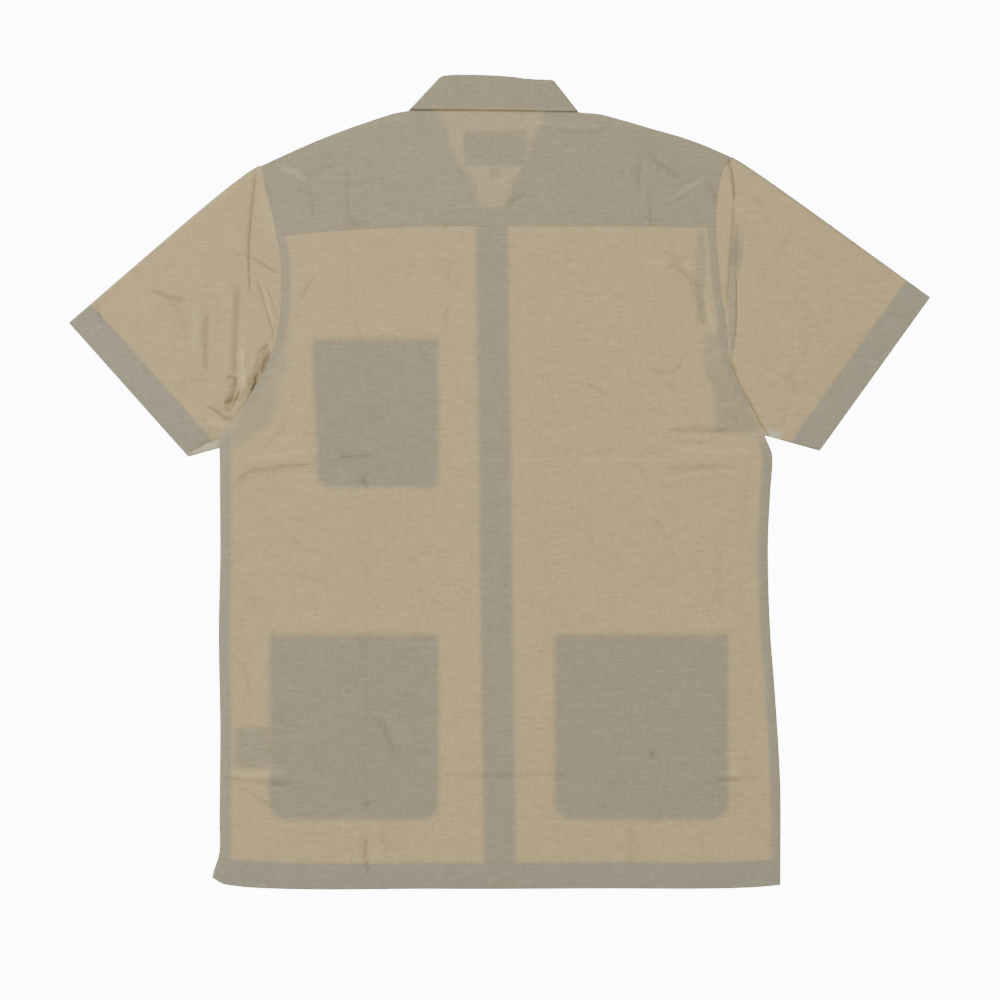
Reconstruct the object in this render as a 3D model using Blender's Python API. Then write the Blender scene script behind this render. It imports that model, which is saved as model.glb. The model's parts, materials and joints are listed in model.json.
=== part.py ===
"""Short-sleeve shirt with a camp collar, lying flat on its front with its back uppermost.

Millimetres in the tables, metres in the model. X runs across the shirt, with the wearer's left at -X.
Y runs from hem to collar. Z runs up from the surface that the shirt lies on.
"""

import math

import bmesh
import bpy

MM = 0.001

# Walls and the clearances between them
CLOTH = 1.0
BAND_WALL = 1.2
HEM_WALL = 1.6
LAYER_GAP = 0.3
SEAM_GAP = 0.3

# Driving dimensions
HEM_DEPTH = 25.0
SLEEVE_HEM_DEPTH = 28.0
HEM_STEP = 1.5
BAND_WIDTH = 32.5
BUTTON_DIAMETER = 11.4
BUTTON_THICKNESS = 1.5
BUTTON_DISH = 0.4
BUTTON_RIM = 1.0
BUTTON_COUNT = 6
BUTTON_STEPS = 20
BUTTON_TOP_HEIGHT = 238.0
BUTTON_SPACING = 100.0
CHEST_EDGE = 269.0

# Lift of the fronts over what lies beneath them
POCKET_LIFT = CLOTH + LAYER_GAP
BUTTON_LIFT = BUTTON_THICKNESS + LAYER_GAP
OVERLAP_LIFT = BUTTON_LIFT + BAND_WALL + LAYER_GAP
HEM_OVERLAP_LIFT = BUTTON_LIFT + HEM_WALL + LAYER_GAP

# Body outline: height, edge
LEFT_EDGE = (
    (-380.4, -276.0), (-374.6, -275.0), (-358.3, -269.8), (-324.7, -269.3), (-238.3, -268.6),
    (-147.1, -270.0), (-65.5, -268.6), (21.8, -269.0), (44.0, -267.4), (67.0, -251.0),
    (90.0, -235.7), (115.0, -222.2), (142.8, -213.6), (169.7, -210.2), (193.7, -209.8),
    (217.7, -210.7), (237.8, -215.0), (259.0, -219.4), (278.2, -224.2), (303.6, -229.0),
)
RIGHT_EDGE = (
    (-387.1, 270.0), (-324.7, 270.4), (-284.4, 269.8), (-190.3, 264.0), (-147.1, 260.6),
    (-65.5, 258.2), (-7.9, 260.6), (21.8, 262.6), (44.0, 255.2), (65.0, 245.3),
    (84.2, 234.7), (107.3, 224.2), (126.5, 220.3), (155.3, 217.4), (184.1, 212.6),
    (222.5, 209.3), (246.5, 207.8), (275.3, 209.8), (299.3, 214.6), (311.8, 223.2),
)
# Hem, yoke seam and the edge of shoulders and neck: across, height
HEM_LINE = (
    (-276.0, -380.4), (-266.4, -386.2), (-256.8, -388.1), (-239.5, -390.0), (-66.7, -391.3),
    (96.5, -391.0), (240.5, -390.0), (270.2, -387.6),
)
YOKE_SEAM = (
    (-215.0, 235.9), (-177.1, 239.6), (-146.4, 241.7), (-115.7, 243.6), (-57.1, 245.5),
    (126.2, 245.5), (207.8, 244.1),
)
YOKE_TOP = (
    (-229.0, 303.6), (-183.8, 324.2), (-146.4, 339.0), (-126.2, 346.0), (-102.2, 353.2),
    (-86.0, 354.4), (-79.5, 355.8), (-66.0, 359.6), (-50.0, 360.8), (0.0, 360.8),
    (45.0, 360.4), (57.0, 358.8), (69.0, 354.8), (77.0, 354.2), (95.5, 353.0),
    (122.4, 346.4), (148.3, 338.8), (174.2, 331.4), (195.4, 323.9), (223.2, 311.8),
)
# Roll line and neckline of each front, from the overlap up to the shoulder: across, height
LEFT_NECK = (
    (8.2, 256.0), (-2.4, 262.8), (-18.7, 273.4), (-36.0, 294.5), (-43.0, 307.0),
    (-50.0, 316.0), (-58.0, 326.5), (-65.5, 336.0), (-73.0, 345.5), (-79.5, 354.6),
)
RIGHT_NECK = (
    (-22.6, 256.0), (-2.4, 262.8), (12.0, 273.4), (27.4, 294.5), (34.5, 307.0),
    (41.5, 316.0), (49.0, 326.5), (56.0, 336.0), (63.0, 345.5), (69.0, 354.4),
)
# Patch pockets: node, left, right, bottom, top, corner radius
POCKETS = (
    ("chest_pocket", -179.0, -59.0, -5.0, 137.0, 8.0),
    ("pocket_left", -220.3, -59.0, -324.0, -147.0, 16.0),
    ("pocket_right", 53.3, 219.4, -324.0, -147.0, 16.0),
)
# Slopes of the cloth beside a pocket and beside the front overlap
POCKET_RAMP = 8.5
BAND_RAMP = 11.0

# Collar sections: fall's edge across and height, fold across and height, stand, turn in degrees
COLLAR = (
    (-99.4, 297.4, -41.8, 311.8, 3.0, -90.0),
    (-96.5, 316.6, -47.5, 328.1, 8.0, -90.0),
    (-91.7, 337.7, -52.3, 352.1, 17.0, -90.0),
    (-88.0, 350.5, -55.5, 373.0, 24.0, -90.0),
    (-87.3, 354.6, -57.0, 384.0, 26.0, -50.0),
    (-87.2, 356.4, -57.6, 387.4, 27.0, 0.0),
    (-86.0, 357.4, -56.4, 389.2, 28.0, 45.0),
    (-80.0, 357.6, -50.0, 390.4, 29.0, 90.0),
    (-52.0, 357.4, -36.0, 391.0, 29.0, 90.0),
    (-22.0, 357.0, -14.0, 390.6, 29.0, 90.0),
    (8.0, 356.6, 8.0, 389.4, 28.0, 90.0),
    (38.0, 356.2, 28.0, 387.0, 26.0, 90.0),
    (68.0, 355.8, 45.0, 386.2, 27.0, 90.0),
    (74.6, 355.9, 50.6, 386.0, 26.0, 45.0),
    (75.8, 355.6, 52.2, 385.2, 25.0, 0.0),
    (76.6, 354.2, 51.6, 381.0, 24.0, -50.0),
    (78.0, 349.5, 49.5, 371.0, 22.0, -90.0),
    (80.5, 337.0, 43.5, 351.0, 15.0, -90.0),
    (84.5, 316.0, 39.0, 328.0, 8.0, -90.0),
    (88.0, 297.0, 34.0, 311.0, 3.0, -90.0),
)
COLLAR_MIDDLE = 3.5
COLLAR_CORE = 0.9
COLLAR_FOLD_GAP = 0.6

# Lapels, outline: across, height
LAPEL_LEFT = (
    (-42.0, 308.4), (-36.0, 295.6), (-19.0, 274.8), (-3.0, 264.0), (5.0, 257.0),
    (-24.0, 255.0), (-58.0, 264.0), (-92.0, 281.0), (-83.0, 298.2),
)
LAPEL_RIGHT = (
    (34.0, 307.6), (72.0, 298.6), (81.0, 281.0), (48.0, 264.0), (22.0, 258.0),
    (12.0, 259.0), (13.0, 272.6), (28.0, 294.0),
)
LAPEL_SLOPE = (85.0, 115.0)

# Labels: left, right, bottom, top
NECK_LABEL = (-35.0, 26.4, 302.4, 336.7)
SIZE_TAB = (-9.3, 0.7, 291.6, 302.1)
CARE_LABEL = (-256.0, -220.3, -275.0, -236.0)

# Heights of the yoke's inner layer above the floor, and its lift over the crossing fronts.
# Each slope is full up to its first distance and gone from its second one.
YOKE_LOW = 1.6
YOKE_HIGH = 3.4
YOKE_MIDDLE = -5.0
YOKE_SLOPE = (125.0, 200.0)
CROSSING_LIFT = 1.9
CROSSING_CENTRE = (-4.0, 250.0)
CROSSING_SLOPE = (42.0, 115.0)
# Where the right front's top comes down from the crossing: across, height
CROSSING_SIDE = (40.0, 75.0)
CROSSING_TOP = (270.0, 300.0)
# How the back comes down beside the overlap and the pockets, and up to the yoke seam
BACK_SLOPE = (20.0, 80.0)
BACK_POCKET_SLOPE = (9.0, 46.0)
SEAM_SLOPE = 70.0

# Sleeves: node, side, shoulder and underarm height, cuff's upper and lower corner, bulge of the upper edge
SLEEVES = (
    ("sleeve_left", -1, 303.6, 36.0, (-414.2, 152.9), (-299.0, 23.8), 4.6),
    ("sleeve_right", 1, 311.8, 44.0, (414.2, 177.4), (307.7, 29.5), 2.2),
)
# The bulge of an upper edge points away from the arm, and dies out towards the underarm
BULGE_ACROSS = 0.63
BULGE_UP = 0.77
BULGE_LEAN = 0.45
EDGE_INSET = 1.4
EDGE_ROOM = 1.0
# Folds along the armhole: share of the way to the hem, height at the shoulder and at the underarm
LEFT_SLEEVE_FOLDS = (
    (0.00, 0.0, 0.0), (0.05, 0.6, 0.6), (0.09, 2.4, 1.0), (0.14, 0.6, 2.6),
    (0.21, 0.2, 0.6), (0.32, 0.9, 2.2), (0.45, 0.5, 0.6), (0.62, 0.9, 1.2),
    (0.82, 0.3, 0.4), (1.00, 0.0, 0.0),
)
RIGHT_SLEEVE_FOLDS = (
    (0.00, 0.0, 0.0), (0.035, 0.4, 0.2), (0.05, 2.6, 0.5), (0.085, 2.4, 1.0),
    (0.10, 0.3, 0.6), (0.25, 0.4, 1.0), (0.42, 0.8, 0.8), (0.62, 0.6, 0.6),
    (0.82, 0.2, 0.3), (1.00, 0.0, 0.0),
)

# Grid of the body: columns near the side seams, rows at underarm, armhole and yoke, and the widest steps
SIDE_COLUMNS = (-258.0, -240.0, 243.0, 258.0)
BODY_ROWS = (36.0, 44.0, 67.0, 90.0, 115.0, 206.0, 230.0)
STRAIGHT_REACH = 222.0
SQUEEZED_EDGE = 20.0
WIDEST_COLUMN = 38.0
TALLEST_ROW = 46.0
YOKE_COLUMNS = (-185.0, -130.0, -86.0, -66.0, -50.0, -25.0, 0.0, 25.0, 45.0, 60.0, 77.0, 122.0, 175.0)
YOKE_ROWS = 5


def curve(rows, key):
    """Value at key on a smooth curve through rows of (key, value)."""
    rows = sorted(rows)
    if key <= rows[0][0]:
        return rows[0][1]
    if key >= rows[-1][0]:
        return rows[-1][1]
    first = max(n for n in range(len(rows) - 1) if rows[n][0] <= key)
    (x0, y0), (x1, y1) = rows[first], rows[first + 1]
    slope = (y1 - y0) / (x1 - x0)
    before = slope
    after = slope
    if first > 0:
        before = (y0 - rows[first - 1][1]) / (x0 - rows[first - 1][0])
    if first + 2 < len(rows):
        after = (rows[first + 2][1] - y1) / (rows[first + 2][0] - x1)
    start = 0.0 if before * slope <= 0 else (before + slope) / 2
    end = 0.0 if after * slope <= 0 else (after + slope) / 2
    t = (key - x0) / (x1 - x0)
    width = x1 - x0
    return (
        y0 * (2 * t ** 3 - 3 * t ** 2 + 1)
        + start * width * (t ** 3 - 2 * t ** 2 + t)
        + y1 * (3 * t ** 2 - 2 * t ** 3)
        + end * width * (t ** 3 - t ** 2)
    )


def fade(distance, full, none):
    """1 up to the distance full, 0 from the distance none, and a soft slope between."""
    t = min(1.0, max(0.0, (none - distance) / (none - full)))
    return t * t * (3 - 2 * t)


def mix(a, b, t):
    return a + (b - a) * t


def spread(stops, widest):
    """The stops, with even ones added where two lie further apart than widest."""
    stops = sorted(stops)
    full = []
    for low, high in zip(stops, stops[1:]):
        count = max(1, math.ceil((high - low) / widest))
        full += [mix(low, high, n / count) for n in range(count)]
    return full + [stops[-1]]


def band_centre(y):
    """Middle of the front overlap, which drifts sideways a little from neck to hem."""
    return mix(0.7, -7.2, (y + 391.0) / 634.0)


def box_distance(x, y, box):
    left, right, bottom, top = box
    return math.hypot(max(left - x, 0, x - right), max(bottom - y, 0, y - top))


# Column and row lines of the body, where its layers change height


def column_homes():
    homes = [-CHEST_EDGE, *SIDE_COLUMNS, CHEST_EDGE]
    for _, left, right, _, _, _ in POCKETS:
        homes += [left, right, left - POCKET_RAMP, right + POCKET_RAMP]
    half = BAND_WIDTH / 2
    homes += [-half - BAND_RAMP, -half, 0.0, half, half + BAND_RAMP]
    return spread(set(homes), WIDEST_COLUMN)


def row_homes():
    homes = [CARE_LABEL[2], CARE_LABEL[3], *BODY_ROWS]
    for _, _, _, bottom, top, _ in POCKETS:
        homes += [bottom, top, bottom - POCKET_RAMP, top + POCKET_RAMP]
    return spread(set(homes), TALLEST_ROW)


def body_edge(side, y):
    return curve(LEFT_EDGE if side < 0 else RIGHT_EDGE, y)


def column_across(home, y):
    """A column's place at height y: straight inside the pockets, squeezed towards the body's edge."""
    if abs(home) <= BAND_WIDTH / 2 + BAND_RAMP:
        return home + band_centre(y)
    side = math.copysign(1.0, home)
    edge = abs(body_edge(side, y))
    limit = min(STRAIGHT_REACH, edge - SQUEEZED_EDGE)
    if abs(home) <= limit:
        return home
    return side * mix(limit, edge, (abs(home) - limit) / (CHEST_EDGE - limit))


HOMES = column_homes()
HALF_BAND = BAND_WIDTH / 2 + 0.1


def body_rows():
    """Plan of the body from hem to yoke seam: rows of (x, y), each with whether it lies in the hem."""
    rows = []
    for rise, hem in ((0.0, True), (HEM_DEPTH, True), (HEM_DEPTH + HEM_STEP, False)):
        base = HEM_LINE[3][1] + rise
        xs = [column_across(home, base) for home in HOMES]
        rows.append(([(x, curve(HEM_LINE, x) + rise) for x in xs], hem))
    for height in row_homes():
        rows.append(([(column_across(home, height), height) for home in HOMES], False))
    seam = []
    for home in HOMES:
        x = column_across(home, curve(YOKE_SEAM, home) - SEAM_GAP)
        seam.append((x, curve(YOKE_SEAM, x) - SEAM_GAP))
    rows.append((seam, False))
    return rows


BODY = body_rows()


def pocket_lift(x, y):
    lift = 0.0
    for _, left, right, bottom, top, _ in POCKETS:
        away = box_distance(x, y, (left, right, bottom, top))
        lift = max(lift, POCKET_LIFT * fade(away, 0.5, POCKET_RAMP - 0.5))
    return lift


def band_share(x, y):
    return fade(abs(x - band_centre(y)), HALF_BAND, BAND_WIDTH / 2 + BAND_RAMP)


def wall(x, y, hem):
    if hem:
        return HEM_WALL
    return BAND_WALL if abs(x - band_centre(y)) <= HALF_BAND else CLOTH


def left_floor(x, y):
    return max(pocket_lift(x, y), BUTTON_LIFT * band_share(x, y))


def right_floor(x, y, hem):
    """Underside of the right front, which passes over the left one's doubled hem."""
    lift = HEM_OVERLAP_LIFT if hem else OVERLAP_LIFT
    return max(pocket_lift(x, y), lift * band_share(x, y))


def on_label(x, y):
    left, right, bottom, top = CARE_LABEL
    return left - 3.0 <= x <= right + 1.0 and bottom - 1.0 <= y <= top + 1.0


def back_floor(x, y, home, hem):
    """Underside of the back: just clear of the fronts and the care label, with soft slopes."""
    top = 0.0
    if home <= HALF_BAND:
        top = max(top, left_floor(x, y) + wall(x, y, hem))
    if home >= -HALF_BAND:
        top = max(top, right_floor(x, y, hem) + wall(x, y, hem))
    if on_label(x, y):
        top += CLOTH + LAYER_GAP
    soft = CLOTH + (OVERLAP_LIFT + BAND_WALL - CLOTH) * fade(abs(x - band_centre(y)), *BACK_SLOPE)
    for _, left, right, bottom, high, _ in POCKETS:
        away = box_distance(x, y, (left, right, bottom, high))
        soft = max(soft, CLOTH + POCKET_LIFT * fade(away, *BACK_POCKET_SLOPE))
    to_seam = fade(curve(YOKE_SEAM, x) - y, 0.0, SEAM_SLOPE)
    seam_height = yoke_floor(x, y) + (CLOTH + LAYER_GAP) / 2
    return mix(max(top, soft) + LAYER_GAP, max(seam_height, top + LAYER_GAP), to_seam)


def yoke_floor(x, y):
    """Underside of the yoke's inner layer."""
    share = fade(abs(x - YOKE_MIDDLE), *YOKE_SLOPE)
    away = math.dist((x, y), CROSSING_CENTRE)
    return mix(YOKE_LOW, YOKE_HIGH, share) + CROSSING_LIFT * fade(away, *CROSSING_SLOPE)


# Meshes


def finish(name, bm, material):
    mesh = bpy.data.meshes.new(name)
    bm.normal_update()
    bm.to_mesh(mesh)
    bm.free()
    mesh.materials.append(material)
    obj = bpy.data.objects.new(name, mesh)
    bpy.context.collection.objects.link(obj)
    return obj


def cloth_wall(name, lower, upper, material, ring=False):
    """Closed wall between two grids of points that match row by row, or a tube's wall for a ring."""
    bm = bmesh.new()
    sheets = []
    for grid in (lower, upper):
        sheets.append([[bm.verts.new([MM * c for c in p]) for p in row] for row in grid])
    low, high = sheets
    rows, count = len(low), len(low[0])
    spans = count if ring else count - 1
    for r in range(rows - 1):
        for c in range(spans):
            n = (c + 1) % count
            bm.faces.new((high[r][c], high[r][n], high[r + 1][n]))
            bm.faces.new((high[r][c], high[r + 1][n], high[r + 1][c]))
            bm.faces.new((low[r][c], low[r + 1][n], low[r][n]))
            bm.faces.new((low[r][c], low[r + 1][c], low[r + 1][n]))
    for c in range(spans):
        n = (c + 1) % count
        bm.faces.new((low[0][c], low[0][n], high[0][n], high[0][c]))
        bm.faces.new((low[-1][n], low[-1][c], high[-1][c], high[-1][n]))
    if not ring:
        for r in range(rows - 1):
            bm.faces.new((low[r + 1][0], low[r][0], high[r][0], high[r + 1][0]))
            bm.faces.new((low[r][-1], low[r + 1][-1], high[r + 1][-1], high[r][-1]))
    bmesh.ops.recalc_face_normals(bm, faces=bm.faces)
    return finish(name, bm, material)


def flat_plate(name, outline, bottom, top, material):
    """A flat outline of (x, y) raised to a plate."""
    bm = bmesh.new()
    base = [bm.verts.new((MM * x, MM * y, MM * bottom)) for x, y in outline]
    face = bm.faces.new(base)
    raised = bmesh.ops.extrude_face_region(bm, geom=[face])
    verts = [item for item in raised["geom"] if isinstance(item, bmesh.types.BMVert)]
    bmesh.ops.translate(bm, vec=(0, 0, MM * (top - bottom)), verts=verts)
    bmesh.ops.recalc_face_normals(bm, faces=bm.faces)
    return finish(name, bm, material)


def rectangle(left, right, bottom, top, corner=0.0, steps=4):
    """Outline with its two lower corners rounded."""
    points = [(right, top), (left, top)]
    if corner == 0.0:
        return points + [(left, bottom), (right, bottom)]
    for centre, start in ((left + corner, 180.0), (right - corner, 270.0)):
        for n in range(steps + 1):
            angle = math.radians(start + 90.0 * n / steps)
            points.append((centre + corner * math.cos(angle), bottom + corner + corner * math.sin(angle)))
    return points


def material(name, colour, roughness=0.9):
    mat = bpy.data.materials.new(name)
    mat.use_nodes = True
    shader = mat.node_tree.nodes["Principled BSDF"]
    shader.inputs["Base Color"].default_value = (*colour, 1.0)
    shader.inputs["Roughness"].default_value = roughness
    shader.inputs["Metallic"].default_value = 0.0
    return mat


# Upper fronts and yoke: a patch between four edges


def patch(bottom, top, left, right):
    """Grid of points that fills four edges, each a list of (x, y)."""
    rows = []
    count, height = len(bottom) - 1, len(left) - 1
    for r in range(height + 1):
        v = r / height
        row = []
        for c in range(count + 1):
            u = share_along(bottom, c)
            point = []
            for k in (0, 1):
                corners = mix(mix(bottom[0][k], bottom[-1][k], u), mix(top[0][k], top[-1][k], u), v)
                point.append(mix(bottom[c][k], top[c][k], v) + mix(left[r][k], right[r][k], u) - corners)
            row.append(tuple(point))
        rows.append(row)
    return rows


def share_along(points, index):
    return (points[index][0] - points[0][0]) / (points[-1][0] - points[0][0])


def armhole_points(side, seam_height, shoulder_height):
    points = []
    for n in range(YOKE_ROWS + 1):
        y = mix(seam_height, shoulder_height, n / YOKE_ROWS)
        points.append((body_edge(side, y), y))
    return points


def neck_points(table, start):
    """Points up a front's inner edge, evenly spaced in height."""
    rows = [(y, x) for x, y in table]
    points = []
    for n in range(YOKE_ROWS + 1):
        y = mix(start[1], table[-1][1], n / YOKE_ROWS)
        points.append((curve(rows, y) if n else start[0], y))
    return points


def front_patch(columns, side, shoulder_height, neck):
    """Plan of a front above the yoke seam, from its seam row up to shoulder and neckline."""
    bottom = [BODY[-1][0][c] for c in columns]
    if side > 0:
        bottom = bottom[::-1]
    armhole = armhole_points(side, bottom[0][1], shoulder_height)
    inner = neck_points(neck, bottom[-1])
    top = []
    for c in range(len(bottom)):
        x = mix(armhole[-1][0], inner[-1][0], share_along(bottom, c))
        top.append((x, curve(YOKE_TOP, x)))
    rows = patch(bottom, top, armhole, inner)
    return [row[::-1] for row in rows] if side > 0 else rows


def neck_away(x, y, neck):
    return abs(x - curve([(row[1], row[0]) for row in neck], y))


def upper_floor(x, y, side, neck):
    """Underside of a front above the yoke seam, over lapel, collar leaf and overlap."""
    lift = BUTTON_LIFT * fade(neck_away(x, y, neck), *LAPEL_SLOPE)
    if side > 0:
        lift = max(lift, OVERLAP_LIFT * fade(x, *CROSSING_SIDE) * fade(y, *CROSSING_TOP))
    return lift


def make_front(name, side, shoulder_height, neck, cloth):
    if side < 0:
        columns = [c for c, home in enumerate(HOMES) if home <= HALF_BAND]
    else:
        columns = [c for c, home in enumerate(HOMES) if home >= -HALF_BAND]
    lower, upper = [], []
    for points, hem in BODY:
        chosen = [points[c] for c in columns]
        last = points is BODY[-1][0]
        heights = []
        for x, y in chosen:
            height = left_floor(x, y) if side < 0 else right_floor(x, y, hem)
            if last:
                height = max(height, upper_floor(x, y, side, neck))
            heights.append(height)
        lower.append([(x, y, z) for (x, y), z in zip(chosen, heights)])
        upper.append([(x, y, z + wall(x, y, hem)) for (x, y), z in zip(chosen, heights)])
    for row in front_patch(columns, side, shoulder_height, neck)[1:]:
        heights = [upper_floor(x, y, side, neck) for x, y in row]
        lower.append([(x, y, z) for (x, y), z in zip(row, heights)])
        upper.append([(x, y, z + CLOTH) for (x, y), z in zip(row, heights)])
    return cloth_wall(name, lower, upper, cloth)


def make_back(cloth):
    lower, upper = [], []
    for points, hem in BODY:
        heights = [back_floor(x, y, home, hem) for (x, y), home in zip(points, HOMES)]
        thick = HEM_WALL if hem else CLOTH
        lower.append([(x, y, z) for (x, y), z in zip(points, heights)])
        upper.append([(x, y, z + thick) for (x, y), z in zip(points, heights)])
    return cloth_wall("back_panel", lower, upper, cloth)


def yoke_plan():
    """Plan of the yoke between its seam, the armholes, the shoulders and the neckline."""
    left, right = YOKE_SEAM[0][0], YOKE_SEAM[-1][0]
    bottom = [(x, curve(YOKE_SEAM, x)) for x in spread([left, *YOKE_COLUMNS, right], WIDEST_COLUMN)]
    top = []
    for c in range(len(bottom)):
        x = mix(YOKE_TOP[0][0], YOKE_TOP[-1][0], share_along(bottom, c))
        top.append((x, curve(YOKE_TOP, x)))
    armhole_left = armhole_points(-1, bottom[0][1], YOKE_TOP[0][1])
    armhole_right = armhole_points(1, bottom[-1][1], YOKE_TOP[-1][1])
    return patch(bottom, top, armhole_left, armhole_right)


def make_yokes(cloth, lining):
    plan = yoke_plan()
    for name, rise, cover in (("yoke_inner", 0.0, lining), ("yoke_outer", CLOTH + LAYER_GAP, cloth)):
        lower = [[(x, y, yoke_floor(x, y) + rise) for x, y in row] for row in plan]
        upper = [[(x, y, yoke_floor(x, y) + rise + CLOTH) for x, y in row] for row in plan]
        cloth_wall(name, lower, upper, cover)


# Collar: a wall folded over itself, turned from under the fronts to above the yoke


def collar_section(row):
    """Outer and inner path of one section, from the fall's edge over the fold to the stand's edge."""
    edge_x, edge_y, fold_x, fold_y, stand, turn = row
    width = math.hypot(fold_x - edge_x, fold_y - edge_y)
    along = ((fold_x - edge_x) / width, (fold_y - edge_y) / width)
    side = -1.0 if along[0] > 0 else 1.0
    outward = (side * abs(along[1]), abs(along[0]))
    level, rise = math.cos(math.radians(turn)), math.sin(math.radians(turn))
    thick = 2 * CLOTH + COLLAR_FOLD_GAP
    reach = COLLAR_CORE + thick

    def place(a, b):
        out = (COLLAR_CORE + b - reach) * level
        return (
            edge_x + along[0] * a + outward[0] * out,
            edge_y + along[1] * a + outward[1] * out,
            COLLAR_MIDDLE + (COLLAR_CORE + b) * rise,
        )

    bend = thick / 2
    inner_bend = COLLAR_FOLD_GAP / 2
    middle = CLOTH + inner_bend
    outer = [place(0.0, thick), place(width / 2, thick), place(width - bend, thick)]
    inner = [place(0.0, thick - CLOTH), place(width / 2, thick - CLOTH), place(width - bend, thick - CLOTH)]
    outer += [place(width, middle), place(width - bend, 0.0), place(width - stand, 0.0)]
    inner += [place(width - CLOTH, middle), place(width - bend, CLOTH), place(width - stand, CLOTH)]
    return outer, inner


def make_collar(cloth):
    sections = [collar_section(row) for row in COLLAR]
    cloth_wall("collar", [inner for _, inner in sections], [outer for outer, _ in sections], cloth)


# Sleeves: flattened tubes, rings from the armhole to the cuff


def sleeve_columns(side, shoulder_height, underarm_height):
    """Armhole points from shoulder to underarm, on the body's own rows."""
    edge = 0 if side < 0 else -1
    rows = [points[edge] for points, _ in BODY if points[edge][1] >= underarm_height]
    seam_height = curve(YOKE_SEAM, rows[-1][0])
    return armhole_points(side, seam_height, shoulder_height)[::-1] + rows[::-1]


def sleeve_height(station, share, folds):
    """Top of the upper layer: station runs from armhole to hem, share from shoulder to underarm."""
    at_shoulder = curve([(fold[0], fold[1]) for fold in folds], station)
    at_underarm = curve([(fold[0], fold[2]) for fold in folds], station)
    fold = mix(at_shoulder, at_underarm, share) * math.sin(math.pi * min(0.97, share + 0.06))
    flat = 2 * CLOTH + 2 * LAYER_GAP
    rest = mix(YOKE_LOW + flat, flat, fade(share, 0.55, 0.1))
    return fold + mix(rest, 2 * HEM_WALL + 2 * LAYER_GAP, min(1.0, station ** 3))


def make_sleeve(name, side, shoulder_height, underarm_height, high, low, bulge, folds, cloth):
    armhole = [(x + side * SEAM_GAP, y) for x, y in sleeve_columns(side, shoulder_height, underarm_height)]
    shares = [(armhole[0][1] - y) / (armhole[0][1] - armhole[-1][1]) for _, y in armhole]
    edge = (low[0] - high[0], low[1] - high[1])
    length = math.hypot(*edge)
    inward = (-side * abs(edge[1]) / length, abs(edge[0]) / length)
    # Stations run to 1 where the turned hem starts and to 2 at the cuff
    stations = [fold[0] for fold in folds] + [1.0 + HEM_STEP / SLEEVE_HEM_DEPTH, 2.0]
    outer_rings, inner_rings = [], []
    for station in stations:
        top, plan = [], []
        for (x, y), share in zip(armhole, shares):
            cuff = (mix(high[0], low[0], share), mix(high[1], low[1], share))
            depth = (x - cuff[0]) * inward[0] + (y - cuff[1]) * inward[1]
            hem_at = 1.0 - SLEEVE_HEM_DEPTH / depth
            way = station * hem_at if station <= 1.0 else mix(hem_at, 1.0, station - 1.0)
            swell = bulge * math.sin(math.pi * way ** BULGE_LEAN) * (1.0 - share) ** 3
            across = mix(x, cuff[0], way) + side * BULGE_ACROSS * swell
            plan.append((across, mix(y, cuff[1], way) + BULGE_UP * swell))
            top.append(sleeve_height(station, share, folds))
        outer, inner = sleeve_ring(plan, top, CLOTH if station <= 1.0 else HEM_WALL)
        outer_rings.append(outer)
        inner_rings.append(inner)
    return cloth_wall(name, inner_rings, outer_rings, cloth, ring=True)


def sleeve_ring(plan, top, thick):
    """One closed ring: upper layer, underarm fold, lower layer, upper-edge fold."""

    def inset(index, toward, distance):
        (x, y), (tx, ty) = plan[index], plan[toward]
        span = math.hypot(tx - x, ty - y)
        return (x + (tx - x) * distance / span, y + (ty - y) * distance / span)

    def loop(end_inset, fold_inset, roof, floor):
        spots = [inset(0, 1, end_inset)] + plan[1:-1] + [inset(-1, -2, end_inset)]
        ring = [(x, y, z - roof) for (x, y), z in zip(spots, top)]
        x, y = inset(-1, -2, fold_inset)
        ring.append((x, y, (top[-1] - roof + floor) / 2))
        ring += [(x, y, floor) for x, y in reversed(spots)]
        x, y = inset(0, 1, fold_inset)
        ring.append((x, y, (top[0] - roof + floor) / 2))
        return ring

    return loop(EDGE_INSET, 0.0, 0.0, 0.0), loop(thick + EDGE_ROOM, thick, thick, thick)


# Labels and buttons


def make_labels(cloth):
    height = YOKE_HIGH - LAYER_GAP
    flat_plate("neck_label", rectangle(*NECK_LABEL), height - CLOTH, height, cloth)
    flat_plate("size_tab", rectangle(*SIZE_TAB), height - CLOTH, height, cloth)
    lower, upper = [], []
    for points, hem in BODY:
        chosen = [p for p in points if on_label(*p)]
        if not chosen:
            continue
        heights = [left_floor(x, y) + wall(x, y, hem) + LAYER_GAP for x, y in chosen]
        lower.append([(x, y, z) for (x, y), z in zip(chosen, heights)])
        upper.append([(x, y, z + CLOTH) for (x, y), z in zip(chosen, heights)])
    cloth_wall("care_label", lower, upper, cloth)


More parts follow.
